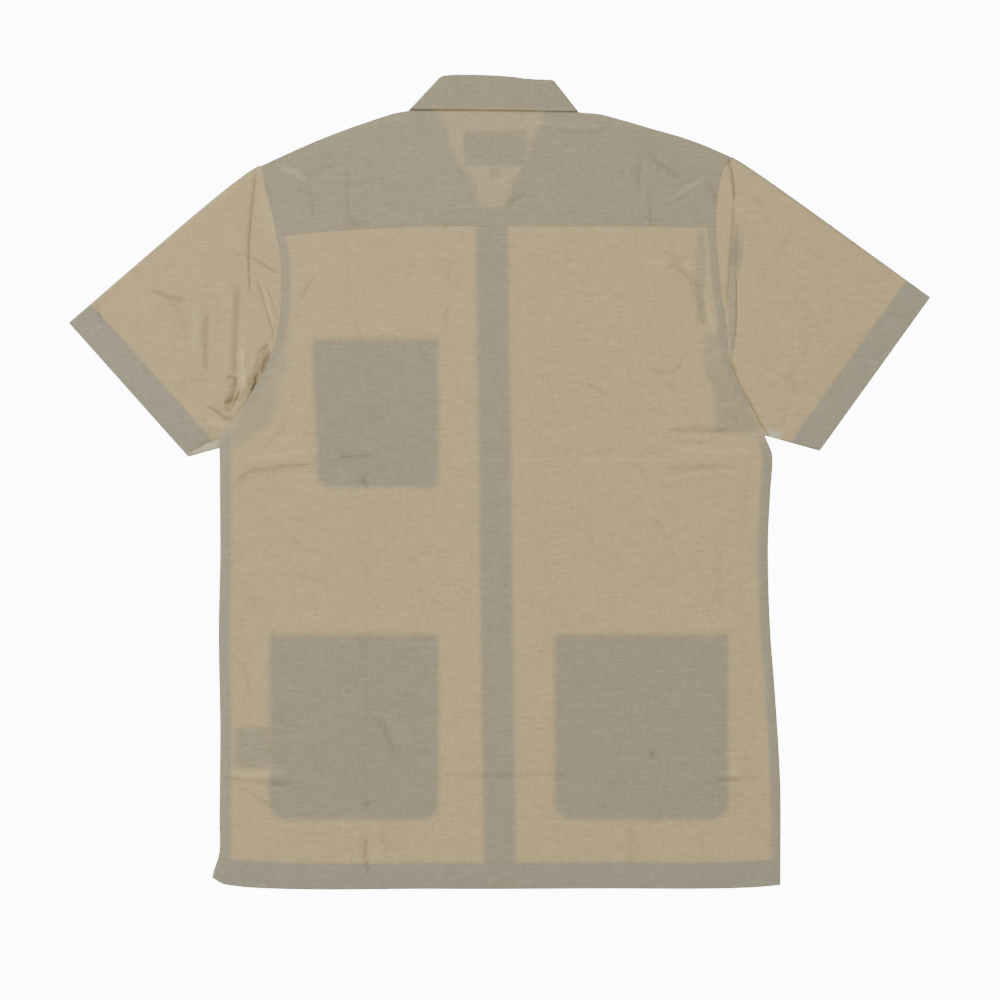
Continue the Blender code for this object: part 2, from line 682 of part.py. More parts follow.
def make_buttons(shell):
    """Round buttons with a raised rim on the face that is turned to the floor."""
    radius = BUTTON_DIAMETER / 2
    rounding = BUTTON_RIM / 2
    profile = (
        (0.0, BUTTON_DISH), (radius - 2 * BUTTON_RIM, BUTTON_DISH), (radius - rounding - BUTTON_RIM, 0.0),
        (radius - rounding, 0.0), (radius, rounding), (radius, BUTTON_THICKNESS), (0.0, BUTTON_THICKNESS),
    )
    for number in range(BUTTON_COUNT):
        height = BUTTON_TOP_HEIGHT - number * BUTTON_SPACING
        bm = bmesh.new()
        verts = [bm.verts.new((MM * r, 0, MM * z)) for r, z in profile]
        edges = [bm.edges.new(pair) for pair in zip(verts, verts[1:])]
        bmesh.ops.spin(
            bm, geom=verts + edges, cent=(0, 0, 0), axis=(0, 0, 1), angle=2 * math.pi, steps=BUTTON_STEPS
        )
        bmesh.ops.remove_doubles(bm, verts=bm.verts, dist=MM * 0.01)
        bmesh.ops.recalc_face_normals(bm, faces=bm.faces)
        bmesh.ops.translate(bm, verts=bm.verts, vec=(MM * band_centre(height), MM * height, 0))
        finish("button_%d" % (number + 1), bm, shell)


def main():
    for obj in list(bpy.data.objects):
        bpy.data.objects.remove(obj, do_unlink=True)
    cloth = material("tan_cotton", (0.43, 0.37, 0.26))
    greyer = material("grey_cotton", (0.36, 0.32, 0.24))
    label = material("label_cloth", (0.33, 0.30, 0.23))
    shell = material("button_shell", (0.35, 0.28, 0.19), 0.4)
    make_back(cloth)
    make_yokes(greyer, cloth)
    make_front("front_left", -1, LEFT_EDGE[-1][0], LEFT_NECK, cloth)
    make_front("front_right", 1, RIGHT_EDGE[-1][0], RIGHT_NECK, cloth)
    for name, left, right, bottom, top, corner in POCKETS:
        flat_plate(name, rectangle(left, right, bottom, top, corner), 0.0, CLOTH, greyer)
    flat_plate("lapel_left", LAPEL_LEFT, 0.0, CLOTH, greyer)
    flat_plate("lapel_right", LAPEL_RIGHT, 0.0, CLOTH, greyer)
    make_collar(greyer)
    for sleeve, folds in zip(SLEEVES, (LEFT_SLEEVE_FOLDS, RIGHT_SLEEVE_FOLDS)):
        make_sleeve(*sleeve, folds, cloth)
    make_labels(label)
    make_buttons(shell)


main()
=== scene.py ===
"""Looks of a short-sleeve camp-collar shirt that lies flat, face down, on a pale floor.

Each piece of cloth is a thin shell on its solid's form, with seams, stitches and creases. The tables are
in millimetres, in the shirt's own frame: the wearer's left at -X, the collar at +Y and the floor at Z 0.
"""

import json
import math

import bmesh
import bpy
import numpy as np
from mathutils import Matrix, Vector
from mathutils.bvhtree import BVHTree

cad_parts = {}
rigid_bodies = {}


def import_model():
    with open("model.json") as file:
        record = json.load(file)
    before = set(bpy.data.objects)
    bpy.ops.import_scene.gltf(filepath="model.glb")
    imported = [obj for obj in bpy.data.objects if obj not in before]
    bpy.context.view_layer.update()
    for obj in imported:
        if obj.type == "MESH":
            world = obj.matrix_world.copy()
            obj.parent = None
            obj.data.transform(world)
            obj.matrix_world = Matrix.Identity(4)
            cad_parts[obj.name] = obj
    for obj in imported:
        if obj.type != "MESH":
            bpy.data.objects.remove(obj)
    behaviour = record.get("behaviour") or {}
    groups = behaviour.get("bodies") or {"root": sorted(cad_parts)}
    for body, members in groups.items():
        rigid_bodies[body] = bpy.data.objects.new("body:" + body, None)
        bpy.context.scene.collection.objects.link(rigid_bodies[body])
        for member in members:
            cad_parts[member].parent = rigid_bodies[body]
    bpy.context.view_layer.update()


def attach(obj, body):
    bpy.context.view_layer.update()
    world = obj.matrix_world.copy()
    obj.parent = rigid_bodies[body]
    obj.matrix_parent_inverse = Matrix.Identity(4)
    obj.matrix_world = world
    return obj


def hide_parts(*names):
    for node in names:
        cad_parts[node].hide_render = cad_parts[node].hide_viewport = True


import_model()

bl_info = {
    "name": "Flat Shirt",
    "version": (1, 0, 0),
    "blender": (4, 5, 0),
    "location": "3D View > Sidebar > Shirt",
    "description": "Builds a short-sleeve shirt laid flat, piece by piece",
    "category": "Object",
}

MM = 0.001

# Body outline: height, edge
LEFT_EDGE = (
    (-380.4, -276.0), (-374.6, -275.0), (-358.3, -269.8), (-324.7, -269.3), (-238.3, -268.6),
    (-147.1, -270.0), (-65.5, -268.6), (21.8, -269.0), (44.0, -267.4), (67.0, -251.0),
    (90.0, -235.7), (115.0, -222.2), (142.8, -213.6), (169.7, -210.2), (193.7, -209.8),
    (217.7, -210.7), (237.8, -215.0), (259.0, -219.4), (278.2, -224.2), (303.6, -229.0),
)
RIGHT_EDGE = (
    (-387.1, 270.0), (-324.7, 270.4), (-284.4, 269.8), (-190.3, 264.0), (-147.1, 260.6),
    (-65.5, 258.2), (-7.9, 260.6), (21.8, 262.6), (44.0, 255.2), (65.0, 245.3),
    (84.2, 234.7), (107.3, 224.2), (126.5, 220.3), (155.3, 217.4), (184.1, 212.6),
    (222.5, 209.3), (246.5, 207.8), (275.3, 209.8), (299.3, 214.6), (311.8, 223.2),
)
# Hem, yoke seam and the edge of shoulders and neck: across, height
HEM_LINE = (
    (-276.0, -380.4), (-266.4, -386.2), (-256.8, -388.1), (-239.5, -390.0), (-66.7, -391.3),
    (96.5, -391.0), (240.5, -390.0), (270.2, -387.6),
)
YOKE_SEAM = (
    (-215.0, 235.9), (-177.1, 239.6), (-146.4, 241.7), (-115.7, 243.6), (-57.1, 245.5),
    (126.2, 245.5), (207.8, 244.1),
)
YOKE_TOP = (
    (-229.0, 303.6), (-183.8, 324.2), (-146.4, 339.0), (-126.2, 346.0), (-102.2, 353.8),
    (-92.0, 355.8), (-86.0, 356.6), (-79.5, 358.4), (-66.0, 360.4), (-50.0, 360.8), (0.0, 360.8),
    (45.0, 360.4), (57.0, 360.0), (67.0, 357.6), (75.0, 355.4), (95.5, 353.4),
    (122.4, 346.4), (148.3, 338.8), (174.2, 331.4), (195.4, 323.9), (223.2, 311.8),
)
# Roll line and neckline of each front, from the overlap up to the shoulder: across, height
LEFT_NECK = (
    (8.2, 256.0), (-2.4, 262.8), (-18.7, 273.4), (-36.0, 294.5), (-43.0, 307.0),
    (-50.0, 316.0), (-58.0, 326.5), (-65.5, 336.0), (-73.0, 345.5), (-79.5, 354.6),
)
RIGHT_NECK = (
    (-22.6, 256.0), (-2.4, 262.8), (12.0, 273.4), (27.4, 294.5), (34.5, 307.0),
    (41.5, 316.0), (49.0, 326.5), (56.0, 336.0), (63.0, 345.5), (69.0, 354.4),
)
# Patch pockets: node, left, right, bottom, top, corner radius
POCKETS = (
    ("chest_pocket", -179.0, -59.0, -5.0, 137.0, 8.0),
    ("pocket_left", -220.3, -59.0, -324.0, -147.0, 16.0),
    ("pocket_right", 53.3, 219.4, -324.0, -147.0, 16.0),
)
# Collar sections: fall's edge across and height, fold across and height, stand, turn in degrees
COLLAR = (
    (-99.4, 297.4, -41.8, 311.8, 3.0, -90.0),
    (-96.5, 316.6, -47.5, 328.1, 8.0, -90.0),
    (-91.7, 337.7, -52.3, 352.1, 17.0, -90.0),
    (-88.0, 350.5, -55.5, 373.0, 24.0, -90.0),
    (-87.3, 354.6, -57.0, 384.0, 26.0, -50.0),
    (-87.2, 356.4, -57.6, 387.4, 27.0, 0.0),
    (-86.0, 357.4, -56.4, 389.2, 28.0, 45.0),
    (-80.0, 357.6, -50.0, 390.4, 29.0, 90.0),
    (-52.0, 357.4, -36.0, 391.0, 29.0, 90.0),
    (-22.0, 357.0, -14.0, 390.6, 29.0, 90.0),
    (8.0, 356.6, 8.0, 389.4, 28.0, 90.0),
    (38.0, 356.2, 28.0, 387.0, 26.0, 90.0),
    (68.0, 355.8, 45.0, 386.2, 27.0, 90.0),
    (74.6, 355.9, 50.6, 386.0, 26.0, 45.0),
    (75.8, 355.6, 52.2, 385.2, 25.0, 0.0),
    (76.6, 354.2, 51.6, 381.0, 24.0, -50.0),
    (78.0, 349.5, 49.5, 371.0, 22.0, -90.0),
    (80.5, 337.0, 43.5, 351.0, 15.0, -90.0),
    (84.5, 316.0, 39.0, 328.0, 8.0, -90.0),
    (88.0, 297.0, 34.0, 311.0, 3.0, -90.0),
)
# Lapels, outline: across, height
LAPEL_LEFT = (
    (-42.0, 308.4), (-36.0, 295.6), (-19.0, 274.8), (-3.0, 264.0), (5.0, 257.0),
    (-24.0, 255.0), (-58.0, 264.0), (-92.0, 281.0), (-83.0, 298.2),
)
LAPEL_RIGHT = (
    (34.0, 307.6), (72.0, 298.6), (81.0, 281.0), (48.0, 264.0), (22.0, 258.0),
    (12.0, 259.0), (13.0, 272.6), (28.0, 294.0),
)
# Labels: left, right, bottom, top
NECK_LABEL = (-35.0, 26.4, 302.4, 336.7)
SIZE_TAB = (-9.3, 0.7, 291.6, 302.1)
CARE_LABEL = (-256.0, -220.3, -275.0, -236.0)
# Sleeves: node, side, shoulder and underarm height, cuff's upper and lower corner, bulge of the upper edge
SLEEVES = (
    ("sleeve_left", -1, 303.6, 32.0, (-414.2, 152.9), (-299.0, 23.8), 4.6),
    ("sleeve_right", 1, 311.8, 44.0, (414.2, 177.4), (307.7, 29.5), 2.2),
)

# Sizes that follow the solids
HEM_DEPTH = 25.0
SLEEVE_HEM_DEPTH = 28.0
BAND_WIDTH = 32.5
POCKET_HEM = 22.0
BUTTON_DIAMETER = 11.4
BUTTON_RIM = 1.5
BUTTON_DISH = 0.4
BUTTON_HOLE = 0.8
BUTTON_HOLES = 1.7
BUTTON_COUNT = 6
BUTTON_TOP_HEIGHT = 238.0
BUTTON_SPACING = 100.0
BUTTON_THICKNESS = 1.5
SEAM_TUCK = 5.0
SEAM_DIP = 0.2
LAYER_GAP = 0.12

# Sizes of the cloth that isn't one plain layer
LAPEL_THICKNESS = 0.9
LABEL_THICKNESS = 0.4
LABEL_CLEARANCE = 0.05
CARE_LABEL_THICKNESS = 0.3
CARE_LABEL_LIFT = 0.4
CARE_LABEL_LINES = 14
COLLAR_CLOTH = 0.8
COLLAR_THICKNESS = 2.0
COLLAR_CORE = 0.4
COLLAR_MIDDLE = 2.45
COLLAR_BOW = 0.35
COLLAR_ROLL = 75.0
COLLAR_ROLL_LINES = 7
COLLAR_STATIONS = 150
COLLAR_LINES = 16
SMOOTH_ANGLE = 50.0

# Grids: range across and up, the most that a part of a piece rises, and the pitch of each piece
BODY_ACROSS = (-270.0, 265.0)
BODY_UP = (-391.0, 250.0)
FRONT_UP = (-391.0, 245.0)
FRONT_ACROSS = 280.0
FRONT_SIDE = 268.0
SHOULDER_RISE = 110.0
YOKE_ACROSS = (-215.0, 208.0)
YOKE_RISE = 112.0
ARMHOLE_RISE = 270.0
BACK_PITCH = 2.9
FRONT_PITCH = 4.0
YOKE_PITCH = 3.0
LINING_PITCH = 7.0
SLEEVE_PITCH = 3.6
SEARCH_ROUNDS = 6

# Stitches: spacing, width and height as shares of their length, distances from edges, depth in the cloth
STITCH_SPACING = 1.25
STITCH_WIDTH = 0.16
STITCH_HEIGHT = 0.10
STITCH_INSET = 1.6
YOKE_STITCH_INSET = 2.2
BAND_STITCH_INSET = 2.0
STITCH_SINK = 0.05
LOW_STITCH_SINK = 0.11
# Rows of a sleeve's grid: fine ones beside the armhole, and the ones by the hem's edge, away from the cuff
FINE_ROWS = 56.0
CUFF_ROWS = (40.0, 36.0, 33.0, 30.5, 29.3, 28.6, 27.9, 27.2, 26.5, 25.0, 21.0, 16.0, 10.5, 5.0, 1.5, 0.0)

LEAN_SCALE = 1.6

# Threads to the metre, how strongly the lengthways ones show, how far threads and mottle turn the tone,
# and how far the painted crease shade darkens it
THREADS = 900.0
WARP_SHARE = 0.45
THREAD_TONE = 0.12
MOTTLE_TONE = 0.13
PAINTED_CREASE_SHADE = 0.45

# Lights: name, place, size, power
LIGHTS = (
    ("key", (-2.6, 2.6, 2.3), 1.8, 190.0),
    ("fill", (2.4, -2.4, 2.6), 3.0, 60.0),
)
WORLD_STRENGTH = 0.5
FLOOR_SIZE = 12.0
FLOOR_DROP = 0.0002
FLOOR_GLOW = 12.0
CAMERA_LENS = 100.0
SENSOR_WIDTH = 36.0
CAMERA_PLACE = (0.48, -17.5, 2669.7)

# Creases: height, lean, half width, painted shade (negative for a painted highlight), path
# Height lifts the crease, lean raises the left of its run and sinks the right
BODY_CREASES = (
    (0.5, -0.8, 3.2, 0.80, ((-258, -11), (-252, 2), (-243, 8.5), (-235, 11.5), (-201, 15.5), (-175, 18.5))),
    (0.3, -0.5, 3.4, 0.22, ((-195, 16.5), (-148, 22.5), (-117, 24.5))),
    (-0.4, 0.3, 2.6, 0.40, ((-156, 23.5), (-140, 24.5), (-120, 25))),
    (-0.3, 0.2, 3.0, 0.28, ((-136, 8), (-130, 0), (-123, -7))),
    (-0.2, 0.1, 1.8, 0.50, ((82, 97), (92, 90), (103, 82))),
    (-0.5, 0.5, 3.8, 0.44, ((158, 50), (176, 50), (192, 50), (231, 49))),
    (-0.5, 0.5, 3.4, 0.34, ((185, 12.5), (194, 14), (231, 15))),
    (-0.4, 0.4, 2.6, 0.34, ((157, 223), (168, 216), (175, 207), (180, 197))),
    (-0.4, 0.4, 2.8, 0.50, ((156, 206), (170, 208), (178, 199), (190, 189), (199, 187))),
    (-0.4, 0.3, 3.4, 0.40, ((189, 194), (192, 176), (195, 158), (196, 146))),
    (0.5, 0.3, 5.0, -0.10, ((135, 211), (162, 205), (196, 201))),
    (-0.3, 0.2, 5.0, 0.05, ((128, 226), (150, 216), (190, 214))),
    (-0.25, 0.1, 3.0, 0.09, ((-128, 40), (-126, -75), (-127, -210), (-129, -373))),
    (-0.3, 0.1, 4.0, 0.08, ((-146, 236), (-145, 146))),
    (-0.6, 0.3, 2.4, 0.36, ((128, -320), (128, -342), (127, -378))),
    (-0.5, 0.4, 3.0, 0.38, ((-266, -284), (-240, -287.5), (-218, -289), (-196, -290))),
    (-0.3, 0.2, 2.6, 0.40, ((-224, -289.5), (-212, -290), (-198, -290))),
    (-0.4, 0.3, 2.8, 0.36, ((-64, -281), (-18, -282.5), (60, -281.5))),
    (-0.4, 0.3, 3.0, 0.22, ((200, -285), (255, -284))),
    (-0.3, 0.2, 2.2, 0.55, ((207, -287), (218, -286.5), (231, -286))),
    (0.3, 0.0, 3.0, -0.30, ((202, -281), (234, -280.5))),
    (-0.2, 0.1, 2.4, 0.34, ((46, -280), (57, -280.5), (70, -280))),
    (-0.2, 0.1, 2.2, 0.26, ((140, -326), (152, -325), (156, -318), (150, -313))),
    (-0.2, 0.1, 3.2, 0.24, ((227, -300), (234, -303), (242, -305))),
    (-0.2, 0.1, 2.2, 0.20, ((133, -344), (132, -366))),
    (0.3, 0.7, 4.0, 0.40, ((-117, -224), (-110, -240), (-104, -252), (-101, -263))),
    (0.3, 0.2, 2.6, -0.26, ((-110, -221), (-103, -236), (-94, -252))),
    (-0.4, 0.2, 2.6, 0.22, ((239.5, 11.5), (238.5, -17.5), (236.5, -41.5), (229, -56), (222, -60.5))),
    (-0.4, 0.4, 2.6, 0.32, ((-191, 171), (-187, 183), (-176, 201))),
    (0.4, 0.0, 4.0, -0.28, ((-251, 18), (-228, 23), (-191.5, 27.5), (-178, 29.5))),
    (-0.3, 0.2, 3.0, 0.20, ((-227, 30.5), (-218.5, 40), (-207, 51.5))),
    (0.3, 0.2, 3.0, -0.16, ((-220.5, 28.5), (-201, 40), (-182, 48))),
    (0.3, 0.0, 3.5, -0.35, ((-222, 103.5), (-214.5, 103.5))),
    (-0.3, 0.2, 3.0, 0.18, ((-208, 67), (-199, 78.5), (-193.5, 93))),
    (0.3, 0.1, 3.0, -0.16, ((-215.5, 61), (-204, 73.5), (-198, 88))),
    (-0.2, 0.0, 5.0, 0.22, ((-236.5, 51.5), (-221.5, 53.5))),
    (-0.2, 0.0, 5.0, 0.36, ((-132, 4.5), (-130, -3))),
    (0.2, 0.0, 5.0, -0.12, ((-186.5, -9), (-134, -10), (-66.5, -4))),
    (0.5, 0.0, 3.8, -0.32, ((162, 34), (180, 28.5), (250, 28.5))),
    (-0.3, 0.2, 3.4, 0.18, ((170, 39), (188, 37.5), (206, 39))),
    (-0.3, 0.3, 5.0, 0.28, ((156, 12), (176, 14), (198, 13))),
    (0.2, 0.0, 1.7, -0.20, ((-62, 21), (40, 22), (120, 21.5), (186, 20.5))),
    (-0.2, 0.1, 5.0, 0.12, ((54, 30), (88, 29), (122, 30))),
    (-0.2, 0.1, 4.0, 0.14, ((130, 28), (142, 27), (160, 29))),
    (-0.3, 0.2, 2.8, 0.20, ((124, 17), (136, 11), (143, 2))),
    (0.2, 0.0, 2.4, -0.16, ((119, 14), (131, 8), (138, -1))),
    (-0.2, 0.1, 5.0, 0.14, ((150, -2), (161, -4), (174, -3))),
    (-0.3, 0.2, 3.2, 0.26, ((142, 112), (149, 107), (158, 104), (168, 106), (177, 116))),
    (-0.3, 0.2, 2.8, 0.24, ((158, 97), (165, 90), (173, 92))),
    (-0.2, 0.1, 3.0, 0.18, ((113, 95), (122, 89), (134, 79))),
    (-0.2, 0.1, 3.6, 0.16, ((138, 75), (150, 70), (163, 62))),
    (-0.2, 0.1, 4.0, 0.14, ((78, 66), (90, 59), (103, 52))),
    (-0.2, 0.1, 3.0, 0.14, ((70, -21), (77, -30), (84, -36))),
    (-0.2, 0.1, 3.4, 0.16, ((82, -38), (88, -50), (92, -66))),
    (-0.2, 0.1, 3.0, 0.16, ((26, -50), (36, -46), (47, -43))),
    (-0.2, 0.1, 5.0, 0.16, ((213, -58), (210, -96), (213, -142))),
    (0.3, 0.0, 3.0, -0.16, ((144.5, 58.5), (192.5, 59.5), (228, 60))),
    (0.3, 0.0, 3.0, -0.18, ((181, 42), (233, 40))),
    (-0.3, 0.2, 2.5, 0.32, ((145, -35), (156, -44), (161, -57), (166, -68), (172, -80))),
    (-0.2, 0.2, 2.2, 0.18, ((-48.5, 249.5), (-55, 232), (-63, 216.5))),
    (-0.3, 0.3, 2.8, 0.45, ((-256, -166), (-247, -177), (-242, -190), (-240, -208))),
    (-0.3, 0.2, 2.5, 0.26, ((-237, -104), (-236, -116), (-233, -130))),
    (-0.3, 0.3, 2.8, 0.24, ((-233, -33), (-211, -44), (-193, -59), (-176, -72))),
    (0.2, 0.1, 2.6, -0.12, ((-206, -49), (-190, -54), (-180, -64))),
    (-0.2, 0.1, 3.2, 0.24, ((-197, -34), (-191.5, -36.5), (-185, -36))),
    (-0.2, 0.1, 3.4, 0.18, ((-207, -87), (-188, -91), (-164, -97))),
    (-0.2, 0.1, 3.4, 0.15, ((-142, -70), (-132, -78), (-122, -89))),
    (-0.2, 0.1, 3.2, 0.18, ((-82, -101), (-64, -115), (-48, -124))),
    (-0.2, 0.1, 3.2, 0.16, ((-79, -70), (-69, -65), (-59, -60))),
    (-0.3, 0.2, 2.6, 0.34, ((-140, 160), (-136, 146), (-131, 130))),
    (-0.2, 0.1, 5.0, 0.16, ((-50, 218), (-49, 205), (-50, 190))),
    (-0.2, 0.1, 3.6, 0.22, ((-49, 170), (-52, 158), (-55, 143))),
    (0.2, 0.1, 2.2, -0.18, ((-51, 176), (-55, 164), (-59, 154))),
    (-0.2, 0.1, 5.0, 0.14, ((-128, 232), (-115, 229), (-102, 225))),
    (0.2, 0.1, 3.0, -0.14, ((-48, 244), (-54, 232), (-62, 220))),
    (0.4, 0.2, 2.2, -0.45, ((196.5, 186), (202, 162), (208, 140))),
    (-0.3, 0.2, 2.2, 0.28, ((184, 192.5), (189.5, 174.5), (192.5, 153.5))),
    (-0.3, 0.3, 2.2, 0.24, ((199, 123.5), (207, 131.5), (215.5, 133))),
    (0.3, 0.2, 2.2, -0.24, ((197.5, 115), (205, 121.5), (214.5, 124.5))),
    (-0.3, 0.2, 2.4, 0.20, ((203, 103.5), (211.5, 93), (220.5, 86))),
    (0.3, 0.2, 2.4, -0.22, ((207, 84), (215.5, 74.5), (226, 70))),
    (-0.3, 0.2, 2.4, 0.22, ((211.5, 64), (226, 61), (237.5, 65))),
    (-0.3, 0.3, 2.6, 0.42, ((-254, -293), (-239, -298), (-231, -306), (-214, -312))),
    (-0.5, 0.3, 2.3, 0.85, ((-128, -341), (-129.5, -351), (-128, -363), (-126, -378))),
    (0.3, 0.1, 2.6, -0.22, ((-162, -325), (-146, -331), (-132, -342))),
    (-0.2, 0.1, 3.4, 0.14, ((-148, -326), (-137, -331), (-128, -342))),
    (-0.2, 0.1, 4.0, 0.22, ((-114, -336), (-109, -346), (-105, -355))),
    (0.2, 0.0, 4.0, -0.22, ((-119, -350), (-117, -364))),
    (-0.1, 0.0, 5.0, 0.34, ((-132, -152), (-130, -159.5))),
    (-0.1, 0.0, 5.0, 0.46, ((-127.5, -305), (-126, -314))),
    (-0.2, 0.0, 2.8, 0.85, ((146, -259.5), (148.5, -266.5))),
    (0.4, 0.0, 3.6, -0.42, ((-262, -281), (-198, -279.5))),
)
# The hidden fronts: creases like the back's, pressed up from the floor
FRONT_CREASES = (
    (0.5, 0.3, 6.0, 0.30, ((-255, 12), (-226, 20), (-190, 22))),
    (0.4, 0.2, 6.0, 0.18, ((-228, 96), (-206, 84), (-186, 64))),
    (0.4, 0.2, 5.0, 0.16, ((-214, 182), (-196, 168), (-180, 158))),
    (0.4, 0.3, 6.0, 0.16, ((-134, 220), (-128, 186), (-127, 150))),
    (0.4, 0.2, 5.0, 0.14, ((-150, -44), (-141, -78), (-144, -118))),
    (0.5, 0.3, 6.0, 0.26, ((250, 22), (214, 16), (168, 18))),
    (0.4, 0.2, 6.0, 0.18, ((226, 98), (205, 78), (190, 52))),
    (0.4, 0.3, 6.0, 0.16, ((206, 204), (180, 196), (150, 200))),
    (0.4, 0.2, 5.0, 0.14, ((128, 96), (116, 62), (118, 20))),
    (0.3, 0.2, 5.0, 0.12, ((66, -30), (78, -68), (74, -104))),
    (0.5, 0.3, 5.0, 0.24, ((-255, -284), (-236, -286), (-226, -285))),
    (0.5, 0.3, 5.0, 0.20, ((226, -284), (262, -283))),
    (0.4, 0.2, 5.0, 0.20, ((128, -330), (126, -350), (128, -362))),
)
YOKE_CREASES = (
    (-0.4, 0.6, 2.4, 0.50, ((143, 315), (156, 302.5), (174, 291.5))),
    (0.7, 0.4, 3.2, -0.90, ((-212, 302.5), (-199, 297), (-184, 290))),
    (-0.25, 0.1, 2.6, 0.30, ((-146, 304), (-146, 270), (-143.5, 256), (-138, 240))),
    (-0.25, 0.1, 3.0, 0.34, ((135, 326), (134, 300), (132, 276))),
    (0.2, 0.0, 2.4, -0.14, ((139, 320), (139, 262))),
    (-0.3, 0.2, 4.0, 0.06, ((-186, 290), (-189, 266))),
    (0.5, 0.2, 2.3, -0.62, ((161, 269), (179, 280), (197, 291))),
    (-0.3, 0.2, 2.2, 0.32, ((166, 269.5), (175, 273), (186, 279))),
    (-0.3, 0.2, 2.2, 0.30, ((168, 283), (178, 287), (190, 293))),
    (0.0, 0.0, 4.0, 0.34, ((198, 290), (205, 279), (208, 264))),
    (-0.3, 0.2, 3.0, 0.38, ((4, 264), (14, 270), (27, 278))),
    (0.2, 0.1, 3.0, -0.18, ((38, 273), (51, 263))),
    (-0.2, 0.1, 3.4, 0.22, ((-196, 291), (-176, 298), (-156, 306))),
    (0.2, 0.0, 5.0, -0.16, ((-102, 317), (-80, 319))),
    (-0.2, 0.0, 5.0, 0.24, ((-154, 249), (-140, 248), (-124, 250))),
    (-0.2, 0.0, 4.0, 0.22, ((-54, 248.5), (-46, 248.5))),
    (0.4, 0.2, 2.2, -0.50, ((29.5, 345.5), (50.5, 343.5), (75.5, 340.5), (102, 342.5))),
    (-0.3, 0.2, 2.4, 0.30, ((51.5, 338.5), (77.5, 336), (108, 336.5))),
    (-0.2, 0.1, 2.4, 0.26, ((-184, 290), (-181.5, 273), (-177, 253))),
    (-0.2, 0.1, 2.4, 0.20, ((120.5, 333), (136, 322.5))),
    (-0.2, 0.1, 2.6, 0.38, ((143, 280), (144, 262), (144.5, 241))),
)
